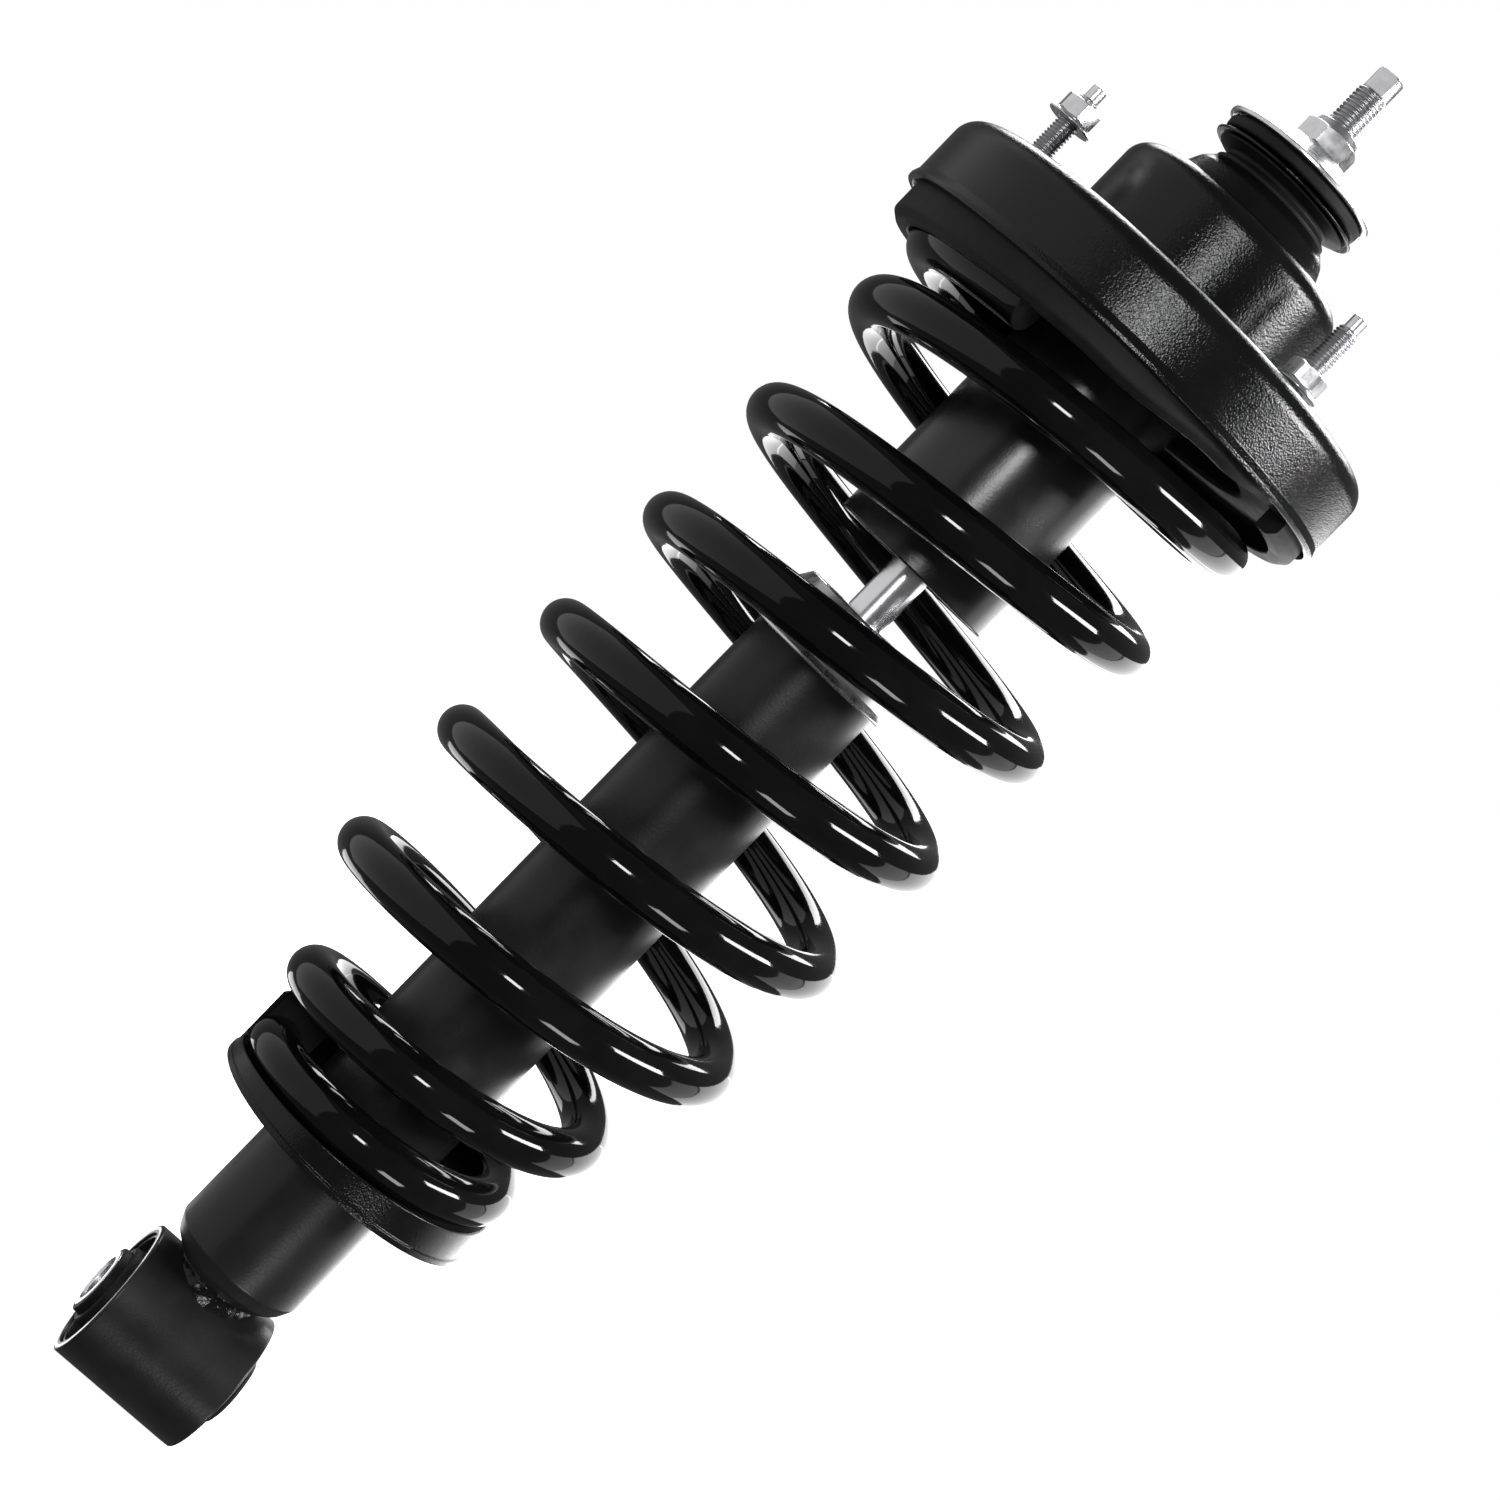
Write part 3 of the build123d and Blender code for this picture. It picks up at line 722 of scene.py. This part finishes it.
def lower_insulator():
    outer = radius("lower_spring_insulator") - 0.3
    floor = low("lower_spring_insulator")
    top_start = high("lower_spring_insulator") - INSULATOR_RISE

    def outline_at(t):
        top = top_start + INSULATOR_RISE * t
        return rounded([
            (INSULATOR_INNER_R, floor, 0.4),
            (outer, floor, 0.4),
            (outer, top, 0.8),
            (INSULATOR_INNER_R, top, 0.8),
        ])

    make_piece(
        "seat_insulator", [climbing_surface(outline_at, SEAT_START_DEG - INSULATOR_LEAD_DEG)], "damper",
        "black_rubber", ["lower_spring_insulator"]
    )


# ------------------------------------------------------------------ coil spring

WIRE_R = 8.6
WIRE_SIDES = 44
RINGS_PER_TURN = 110
SEATED_TURNS = 0.75
# Turn number, radius of the wire's centre, height of the wire's centre
SPRING_STATIONS = [
    (0.0, 43.2, 100.6),
    (0.5, 45.7, 113.2),
    (1.0, 50.6, 127.2),
    (1.5, 56.2, 147.4),
    (2.0, 68.6, 170.9),
    (2.5, 70.6, 196.6),
    (4.75, 70.6, 308.6),
    (7.0, 70.6, 420.0),
    (7.5, 70.6, 440.8),
    (8.18, 70.6, 449.2),
]


def hermite(stations, column, t):
    """Smooth interpolation through the stations, with slopes from each one's neighbours."""
    last = len(stations) - 1
    i = max(k for k in range(last) if stations[k][0] <= t)

    def slope(k):
        before = stations[max(k - 1, 0)]
        after = stations[min(k + 1, last)]
        return (after[column] - before[column]) / (after[0] - before[0])

    start, end = stations[i], stations[i + 1]
    width = end[0] - start[0]
    u = (t - start[0]) / width
    value = start[column] * (2 * u ** 3 - 3 * u ** 2 + 1)
    value += end[column] * (3 * u ** 2 - 2 * u ** 3)
    value += slope(i) * width * (u ** 3 - 2 * u ** 2 + u)
    value += slope(i + 1) * width * (u ** 3 - u ** 2)
    return value


def coil_point(t):
    angle = math.radians(SEAT_START_DEG) + TURN * t
    r = hermite(SPRING_STATIONS, 1, t)
    return Vector((r * math.cos(angle), r * math.sin(angle), hermite(SPRING_STATIONS, 2, t)))


def wire_ring(t, wire_r, shift=0.0):
    """One ring of points round the wire at turn t, moved along the wire by shift."""
    end = SPRING_STATIONS[-1][0]
    step = 0.001
    here = coil_point(t)
    along = (coil_point(min(t + step, end)) - coil_point(max(t - step, 0.0))).normalized()
    outward = Vector((here.x, here.y, 0)).normalized()
    outward = (outward - along * outward.dot(along)).normalized()
    up = along.cross(outward)
    centre = here + along * shift
    ring_points = []
    for k in range(WIRE_SIDES):
        angle = TURN * k / WIRE_SIDES
        ring_points.append(centre + (outward * math.cos(angle) + up * math.sin(angle)) * wire_r)
    return ring_points


def wire_end(t, inward):
    """A cut end of the wire, its edge broken all round; inward is 1 or -1 along the wire."""
    return [
        wire_ring(t, WIRE_R, 0.8 * inward),
        wire_ring(t, WIRE_R - 0.2, 0.25 * inward),
        wire_ring(t, WIRE_R - 0.7),
    ]


def wire_rows(start, end):
    count = round((end - start) * RINGS_PER_TURN)
    return [wire_ring(start + (end - start) * i / count, WIRE_R) for i in range(count + 1)]


def dull_wire_end(wire, first_face):
    """The cut face and its broken edge are dull against the enamel."""
    wire.data.materials.append(MATERIALS["black_rubber"])
    for face in wire.data.polygons[first_face:]:
        face.material_index = 1


def coil_spring():
    """The seated turn stays on the lower seat with the damper, and the rest of the wire is carried by the
    top mount.
    """
    end = SPRING_STATIONS[-1][0]
    seated = wire_end(0.0, 1)[::-1] + wire_rows(0.0, SEATED_TURNS)[1:]
    make_piece("seated_wire", [(seated, False, True, True)], "damper", "spring_enamel")
    cut = wire_end(end, -1)
    live = wire_rows(SEATED_TURNS, end)[:-1] + cut
    spring = make_piece(
        "spring_wire", [(live, False, True, True)], "top_mount", "spring_enamel", ["coil_spring"]
    )
    dull_wire_end(spring, (len(live) - len(cut)) * WIRE_SIDES)
    anchor_z = high("coil_spring")
    length = anchor_z - coil_point(SEATED_TURNS).z
    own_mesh(spring)


# ------------------------------------------------------------------ rod and the pieces on it

ROD_R = 7.5
ROD_SHANK_R = 5.85
ROD_STEM_R = 5.0
ROD_THREAD_R = 5.95
ROD_THREAD_PITCH = 1.5
ROD_THREAD_BELOW_NUT = 4.0  # how far the thread runs on below the nut
ROD_TIP_LENGTH = 8.4
ROD_TIP_HALF_FLATS = 3.25
ROD_TIP_TURN_DEG = 60.0
SLEEVE_ON_ROD_R = 10.0


def rod_tip(bottom, top):
    """The plain end above the thread, with two flats."""
    def two_flats(limit, angle):
        across = abs(math.cos(angle - math.radians(ROD_TIP_TURN_DEG)))
        return min(limit, ROD_TIP_HALF_FLATS / max(across, 0.01))

    return shaped_column([
        (4.4, bottom - 1.0),
        (5.15, bottom - 0.2),
        (5.15, top - 1.0),
        (4.9, top - 0.3),
        (4.3, top),
    ], two_flats)


def rod():
    shoulder = high("support_washer") - 3.0
    piston_top = high("piston")
    nut_bottom = low("rod_nut")
    thread_bottom = nut_bottom - ROD_THREAD_BELOW_NUT
    tip_top = high("piston_rod")
    thread_top = tip_top - ROD_TIP_LENGTH
    body = rounded([
        (AXIS_R, piston_top),
        (ROD_R, piston_top, 0.3),
        (ROD_R, shoulder, 0.5),
        (ROD_SHANK_R, shoulder, 0.2),
        (ROD_SHANK_R, thread_bottom),
        (AXIS_R, thread_bottom),
    ], closed=False)
    stem = rounded([
        (AXIS_R, low("piston_rod")),
        (ROD_STEM_R, low("piston_rod"), 0.6),
        (ROD_STEM_R, piston_top),
        (AXIS_R, piston_top),
    ], closed=False)
    surfaces = [
        turned_solid(body, 96),
        turned_solid(stem, 64),
        thread(ROD_THREAD_R, ROD_THREAD_PITCH, thread_bottom, thread_top, steps=64),
        rod_tip(thread_top, tip_top),
    ]
    piece = make_piece("damper_rod", surfaces, "rod", "hard_chrome", ["piston_rod"])
    recolour(piece, "bare_steel", nut_bottom, thread_top)
    recolour(piece, "zinc_plate", thread_top, tip_top)


def dust_cover():
    outer = radius("dust_cover")
    bottom = low("dust_cover")
    top = high("dust_cover")
    wall = 1.7
    hole = 7.6
    outline = rounded([
        (outer - wall, bottom, 0.5),
        (outer, bottom, 0.7),
        (outer, top, 3.0),
        (hole, top),
        (hole, top - wall),
        (outer - wall, top - wall, 2.0),
    ])
    make_piece("cover_shell", [lathe(outline)], "rod", "cover_plastic", ["dust_cover"])


def cup_washer():
    """A thin washer whose edge droops."""
    bottom = low("cup_washer") + 1.2
    top = bottom + 1.5
    outer = radius("cup_washer")
    outline = rounded([
        (SLEEVE_ON_ROD_R, bottom),
        (outer - 8, bottom, 3.0),
        (outer - 0.3, bottom - 1.1, 0.3),
        (outer, bottom - 0.2, 0.4),
        (outer - 7, top, 3.0),
        (SLEEVE_ON_ROD_R, top),
    ])
    make_piece("thin_washer", [lathe(outline)], "rod", "gloss_black_paint", ["cup_washer"])


def upper_cushion():
    bottom = low("upper_cushion")
    rim = radius("upper_cushion")
    lip = low("dished_washer")
    top = high("inner_sleeve")
    outline = rounded([
        (SLEEVE_ON_ROD_R, bottom),
        (rim - 0.4, bottom, 1.2),
        (rim, lip - 1.0, 1.6),
        (rim - 1.0, lip, 0.6),
        (12.0, top),
        (SLEEVE_ON_ROD_R, top),
    ])
    make_piece("cushion_above", [lathe(outline)], "rod", "black_rubber", ["upper_cushion"])


def dished_washer():
    rim = radius("dished_washer")
    bottom = low("dished_washer")
    top = high("dished_washer")
    hole = 5.9
    outline = rounded([
        (hole, top - 2.0, 0.2),
        (12.2, top - 2.0, 1.5),
        (rim - 1.8, bottom, 1.5),
        (rim - 0.2, bottom, 0.6),
        (rim, bottom + 1.6, 0.7),
        (rim - 2.2, bottom + 2.4, 3.0),
        (12.6, top, 2.5),
        (hole, top, 0.4),
    ], steps=8)
    make_piece("dish", [lathe(outline)], "rod", "zinc_plate", ["dished_washer"])


def rod_nut():
    """A lock nut: a hexagon with a tapered crown."""
    bottom = low("rod_nut")
    top = high("rod_nut")
    crown_start = top - 3.4
    bore = 5.6
    crown_r = 9.0
    crown = rounded([
        (bore, crown_start - 2),
        (crown_r, crown_start - 2),
        (crown_r, crown_start, 0.4),
        (7.9, top - 0.4, 0.8),
        (6.6, top, 0.3),
        (bore, top - 0.9, 0.2),
    ])
    hexagon = spun(hex_nut(19.0, bore, bottom, crown_start + 0.4), 30)
    surfaces = [hexagon, lathe(crown, 96)]
    make_piece("strut_nut", surfaces, "rod", "zinc_plate", ["rod_nut"], sharp_deg=NUT_SHARP_DEG)


# ------------------------------------------------------------------ top mount

MOUNT_WALL = 2.5
MOUNT_CORNER_R = 8.0
MOUNT_INNER_CORNER_R = 5.5
TOWER_R = 46.0
NECK_WALL = 2.2
NECK_MOUTH_R = 24.3


def spring_pan():
    lip = radius("upper_spring_seat")
    outer = lip - 1.0
    inner = outer - MOUNT_WALL
    bottom = low("upper_spring_seat")
    top = high("upper_spring_seat")
    outline = rounded([
        (TOWER_R, top - MOUNT_WALL),
        (TOWER_R, top, 0.2),
        (outer, top, MOUNT_CORNER_R),
        (outer, bottom + 4.2, 1.5),
        (lip, bottom + 1.6, 0.8),
        (lip, bottom, 0.5),
        (outer - 1.2, bottom, 0.5),
        (inner, bottom + 4.0, 1.5),
        (inner, top - MOUNT_WALL, MOUNT_INNER_CORNER_R),
    ], steps=12)
    make_piece("pan_shell", [lathe(outline, 220)], "top_mount", "gloss_black_paint", ["upper_spring_seat"])


def tower():
    """The round-shouldered shell over the bushing, with its flange under the pan."""
    inner = TOWER_R - MOUNT_WALL
    flange = radius("mount_tower")
    bottom = low("mount_tower")
    top = high("mount_tower")
    hole = radius("neck_shell") - NECK_WALL
    outline = rounded([
        (inner, bottom, 0.5),
        (flange, bottom, 0.4),
        (flange, bottom + MOUNT_WALL, 0.4),
        (TOWER_R, bottom + MOUNT_WALL),
        (TOWER_R, top, MOUNT_CORNER_R),
        (hole, top, 0.4),
        (hole, top - MOUNT_WALL, 0.4),
        (inner, top - MOUNT_WALL, MOUNT_INNER_CORNER_R),
    ], steps=12)
    make_piece("tower_shell", [lathe(outline, 200)], "top_mount", "gloss_black_paint", ["mount_tower"])


def neck():
    """The tapered collar that stands on the tower."""
    foot = radius("neck_shell")
    bottom = high("mount_tower")
    top = high("neck_shell")
    outline = rounded([
        (foot - NECK_WALL, bottom, 0.3),
        (foot + 1.2, bottom, 0.6),
        (foot - 0.6, bottom + 3.4, 3.0),
        (27.6, bottom + 8.2, 6.0),
        (NECK_MOUTH_R, top, 0.7),
        (NECK_MOUTH_R - NECK_WALL, top, 0.5),
        (NECK_MOUTH_R + 0.8, bottom + 7.4, 5.0),
    ], steps=8)
    make_piece("neck", [lathe(outline, 180)], "top_mount", "gloss_black_paint", ["neck_shell"])


def lower_cushion():
    """The rubber bushing: a block in the tower, a neck through it and a flared top."""
    bottom = low("lower_cushion")
    top = high("lower_cushion")
    block_top = 519.4
    neck_r = NECK_MOUTH_R - 2.3
    neck_top = high("neck_shell")
    bore = 10.05
    outline = rounded([
        (bore, bottom, 0.4),
        (36.0, bottom, 2.0),
        (38.0, block_top - 1.4, 2.0),
        (neck_r, block_top, 0.4),
        (neck_r, neck_top),
        (23.7, neck_top, 0.5),
        (23.9, neck_top + 1.4, 0.6),
        (21.3, neck_top + 3.2, 1.6),
        (21.5, neck_top + 4.6, 1.6),
        (28.6, top - 1.7, 0.5),
        (23.0, top - 0.05),
        (bore, top - 0.05),
    ])
    make_piece("cushion_below", [lathe(outline)], "top_mount", "black_rubber", ["lower_cushion"])


ISOLATOR_PAD_Z = 458.8
ISOLATOR_INNER_R = 60.0
SKIRT_INNER_R = 80.0
STUD_ROOM_R = 76.0  # inside this the ring is lower, for the heads of the studs
STUD_ROOM_HEIGHT = 4.0

# The isolator's skirt: degrees round from its step, and how far its edge stands below the pad
SKIRT_START_DEG = 318.0
SKIRT_DROPS = [
    (0.0, 7.2), (40.0, 7.4), (212.0, 13.6), (245.0, 12.8), (302.0, 10.0), (335.0, 5.2), (351.0, 2.2),
    (353.5, 0.3), (360.0, 0.3)
]


def skirt_drop(degrees):
    """The skirt's depth, eased from one station to the next."""
    for (start, depth), (end, next_depth) in zip(SKIRT_DROPS, SKIRT_DROPS[1:]):
        if degrees <= end:
            share = (degrees - start) / (end - start)
            eased = share * share * (3 - 2 * share)
            return depth + (next_depth - depth) * eased
    return SKIRT_DROPS[-1][1]


def upper_isolator():
    """A rubber ring: a pad on the last coil, and a skirt whose edge follows the wire."""
    outer = radius("upper_spring_isolator")
    top = high("upper_spring_isolator")
    ring_top = top - STUD_ROOM_HEIGHT

    def outline_at(t):
        bottom = ISOLATOR_PAD_Z - skirt_drop(360 * t)
        return rounded([
            (ISOLATOR_INNER_R, ISOLATOR_PAD_Z, 1.5),
            (SKIRT_INNER_R, ISOLATOR_PAD_Z, 0.5),
            (SKIRT_INNER_R, bottom + 0.2, 0.8),
            (outer - 3.0, bottom, 1.6),
            (outer, bottom + 2.4, 1.8),
            (outer, top - 8, 2.0),
            (83.0, top - 0.5, 1.0),
            (STUD_ROOM_R, top - 0.5, 0.5),
            (STUD_ROOM_R, ring_top, 0.5),
            (ISOLATOR_INNER_R, ring_top, 1.0),
        ])

    ring_surface = climbing_surface(outline_at, SKIRT_START_DEG, steps=360)
    make_piece("isolator_ring", [ring_surface], "top_mount", "black_rubber", ["upper_spring_isolator"])


STUD_NUMBERS = (1, 2, 3)
STUD_HEAD_R = 7.0
STUD_HEAD_HEIGHT = 3.6
STUD_NECK_R = 4.4
STUD_THREAD_R = 4.0
STUD_THREAD_PITCH = 1.25
STUD_TIP_R = 2.75
STUD_TIP_LENGTH = 5.2
STUD_NUT_FLATS = 13.0
STUD_NUT_BORE_R = 3.7
STUD_NUT_TURN_DEG = 25.0  # each nut stands this much further round than the last
NUT_WASHER_BORE_R = 4.1


def centre_of(node):
    """Where a node's box is centred, seen from above."""
    return (low(node, 0) + high(node, 0)) / 2, (low(node, 1) + high(node, 1)) / 2


def studs():
    """Three press-in studs, each with its thread and its plain pilot tip."""
    for number in STUD_NUMBERS:
        node = f"mount_stud_{number}"
        head_bottom = low(node)
        tip_top = high(node)
        plate_bottom = head_bottom + STUD_HEAD_HEIGHT
        plate_top = high("upper_spring_seat")
        thread_top = tip_top - STUD_TIP_LENGTH
        head = rounded([
            (AXIS_R, head_bottom),
            (STUD_HEAD_R, head_bottom, 0.8),
            (STUD_HEAD_R, plate_bottom, 0.3),
            (AXIS_R, plate_bottom),
        ], closed=False)
        shank = rounded([
            (AXIS_R, plate_bottom),
            (STUD_NECK_R, plate_bottom),
            (STUD_NECK_R, plate_top + 0.3, 0.2),
            (3.4, plate_top + 0.5),
            (AXIS_R, plate_top + 0.5),
        ], closed=False)
        tip = rounded([
            (AXIS_R, thread_top - 1.0),
            (3.2, thread_top - 1.0),
            (STUD_TIP_R, thread_top + 0.3, 0.2),
            (STUD_TIP_R, tip_top, 0.5),
            (AXIS_R, tip_top),
        ], closed=False)
        surfaces = [
            turned_solid(head, 64),
            turned_solid(shank, 64),
            thread(STUD_THREAD_R, STUD_THREAD_PITCH, plate_top, thread_top, steps=52),
            turned_solid(tip, 64),
        ]
        placed = [moved(surface, *centre_of(node)) for surface in surfaces]
        stud = make_piece(f"stud_{number}", placed, "top_mount", "zinc_plate", [node])
        recolour(stud, "bare_steel", plate_top, thread_top - 1.0)


def stud_nuts():
    for number in STUD_NUMBERS:
        nut_node = f"stud_nut_{number}"
        washer_node = f"stud_washer_{number}"
        place = centre_of(washer_node)
        nut = hex_nut(STUD_NUT_FLATS, STUD_NUT_BORE_R, low(nut_node), high(nut_node))
        turned = moved(spun(nut, STUD_NUT_TURN_DEG * (number - 1)), *place)
        make_piece(
            f"nut_{number}_hex", [turned], f"nut_{number}", "zinc_plate", [nut_node],
            sharp_deg=NUT_SHARP_DEG
        )
        bottom = low(washer_node)
        top = high(washer_node)
        washer = rounded([
            (NUT_WASHER_BORE_R, bottom, 0.2),
            (8.3, bottom, 0.3),
            (8.8, bottom + 0.35, 0.3),
            (8.4, bottom + 0.9, 0.3),
            (6.8, top, 0.5),
            (NUT_WASHER_BORE_R, top, 0.1),
        ])
        make_piece(
            f"nut_{number}_washer", [moved(lathe(washer, 72), *place)], f"nut_washer_{number}",
            "zinc_plate", [washer_node]
        )


# ------------------------------------------------------------------ floor, light and camera

FLOOR_HALF_SIZE = 8.0  # metres
FLOOR_GAP = 0.0005  # metres between the floor and the eye's lowest point
FLOOR_GLOW = 0.95
ROOM_GREY = 0.13
STRUT_MIDDLE = 0.29  # metres above the origin, where every lamp is aimed


def floor():
    """A plain white floor that the camera sees, kept out of the glossy reflections."""
    size = FLOOR_HALF_SIZE
    level = low("lower_eye") * MM - FLOOR_GAP
    mesh = bpy.data.meshes.new("floor")
    corners = [(-size, -size, level), (size, -size, level), (size, size, level), (-size, size, level)]
    mesh.from_pydata(corners, [], [(0, 1, 2, 3)])
    plane = bpy.data.objects.new("floor", mesh)
    bpy.context.scene.collection.objects.link(plane)
    material, nodes, links, shader = new_material("floor_white")
    shader.inputs["Base Color"].default_value = (0.6, 0.6, 0.6, 1)
    shader.inputs["Roughness"].default_value = 1.0
    shader.inputs["Specular IOR Level"].default_value = 0.0
    shader.inputs["Emission Color"].default_value = (1, 1, 1, 1)
    shader.inputs["Emission Strength"].default_value = FLOOR_GLOW
    mesh.materials.append(material)
    plane.visible_glossy = False
    plane.visible_diffuse = False
    plane.visible_shadow = False


def world():
    """White behind the object, and a dark room in its reflections."""
    surroundings = bpy.data.worlds.new("studio")
    bpy.context.scene.world = surroundings
    surroundings.use_nodes = True
    nodes = surroundings.node_tree.nodes
    links = surroundings.node_tree.links
    background = nodes["Background"]
    seen = nodes.new("ShaderNodeLightPath")
    mix = nodes.new("ShaderNodeMix")
    mix.data_type = "RGBA"
    links.new(seen.outputs["Is Camera Ray"], mix.inputs["Factor"])
    mix.inputs["A"].default_value = (ROOM_GREY, ROOM_GREY, ROOM_GREY, 1)
    mix.inputs["B"].default_value = (1.0, 1.0, 1.0, 1)
    links.new(mix.outputs["Result"], background.inputs["Color"])


CAMERA_DISTANCE = 1008.0
CAMERA_HEIGHT = 352.7
CAMERA_AZIMUTH_DEG = -10.0
CAMERA_TILT_DEG = 3.87
CAMERA_PAN_DEG = 0.19
STRUT_LEAN_DEG = 45.7
LENS = 72.0
SENSOR = 36.0


def camera_axes():
    """The camera's right, up and forward before it is rolled."""
    azimuth = math.radians(CAMERA_AZIMUTH_DEG)
    pan = math.radians(CAMERA_PAN_DEG)
    level_forward = Vector((-math.sin(azimuth), math.cos(azimuth), 0))
    level_forward = Matrix.Rotation(-pan, 3, "Z") @ level_forward
    right = level_forward.cross(Vector((0, 0, 1)))
    tilt = math.radians(CAMERA_TILT_DEG)
    forward = level_forward * math.cos(tilt) - Vector((0, 0, 1)) * math.sin(tilt)
    return right, right.cross(forward), forward


def camera():
    right, up, forward = camera_axes()
    lean = math.radians(STRUT_LEAN_DEG)
    rolled_right = up * math.cos(lean) + right * math.sin(lean)
    rolled_up = up * math.sin(lean) - right * math.cos(lean)
    azimuth = math.radians(CAMERA_AZIMUTH_DEG)
    place = Vector((math.sin(azimuth), -math.cos(azimuth), 0)) * CAMERA_DISTANCE
    place.z = CAMERA_HEIGHT
    data = bpy.data.cameras.new("camera")
    data.lens = LENS
    data.sensor_width = SENSOR
    viewer = bpy.data.objects.new("camera", data)
    bpy.context.scene.collection.objects.link(viewer)
    axes = Matrix((rolled_right, rolled_up, -forward)).transposed()
    viewer.matrix_world = Matrix.Translation(place * MM) @ axes.to_4x4()
    bpy.context.scene.camera = viewer


def softbox(name, bearing, height, distance, size, radiance):
    """A soft panel facing the strut; its bearing is counted to the camera's right."""
    azimuth = math.radians(CAMERA_AZIMUTH_DEG + bearing)
    data = bpy.data.lights.new(name, "AREA")
    data.shape = "RECTANGLE"
    data.size, data.size_y = size
    data.energy = radiance * math.pi * size[0] * size[1]
    lamp = bpy.data.objects.new(name, data)
    bpy.context.scene.collection.objects.link(lamp)
    lamp.location = (distance * math.sin(azimuth), -distance * math.cos(azimuth), height)
    direction = Vector((0, 0, STRUT_MIDDLE)) - lamp.location
    lamp.rotation_euler = direction.to_track_quat("-Z", "Y").to_euler()
    lamp.visible_camera = False


# Name, bearing in degrees, height, distance from the strut's axis, (width, height), radiance
LAMPS = [
    ("front_key", -2, 0.62, 1.5, (0.26, 0.26), 44.0),
    ("right_low", 40, -0.55, 1.1, (0.40, 0.30), 14.0),
    ("right_side", 75, 0.88, 1.3, (0.78, 0.26), 46.0),
    ("right_back", 137, 0.14, 1.3, (0.8, 1.0), 3.2),
    ("right_wall", 108, 0.14, 1.3, (0.5, 1.0), 1.5),
    ("back_rim", 165, 0.12, 1.3, (0.6, 1.0), 3.0),
    ("left_rim", -150, -0.30, 0.7, (0.30, 0.25), 2.2),
    ("back_top", 180, 1.6, 1.2, (1.6, 0.9), 10.0),
    ("left_wall", -82, 0.30, 1.1, (2.5, 2.4), 0.62),
]


def lights():
    for lamp in LAMPS:
        softbox(*lamp)


bpy.context.scene.view_settings.view_transform = "Standard"
paint_cad_nodes()
lower_eye()
eye_edge_highlight()
bush_rubber()
bush_sleeve()
eye_weld()
damper_tube()
striker_cap()
lower_seat()
seat_weld()
lower_insulator()
coil_spring()
rod()
dust_cover()
cup_washer()
upper_cushion()
dished_washer()
rod_nut()
spring_pan()
tower()
neck()
lower_cushion()
upper_isolator()
studs()
stud_nuts()
floor()
world()
camera()
lights()
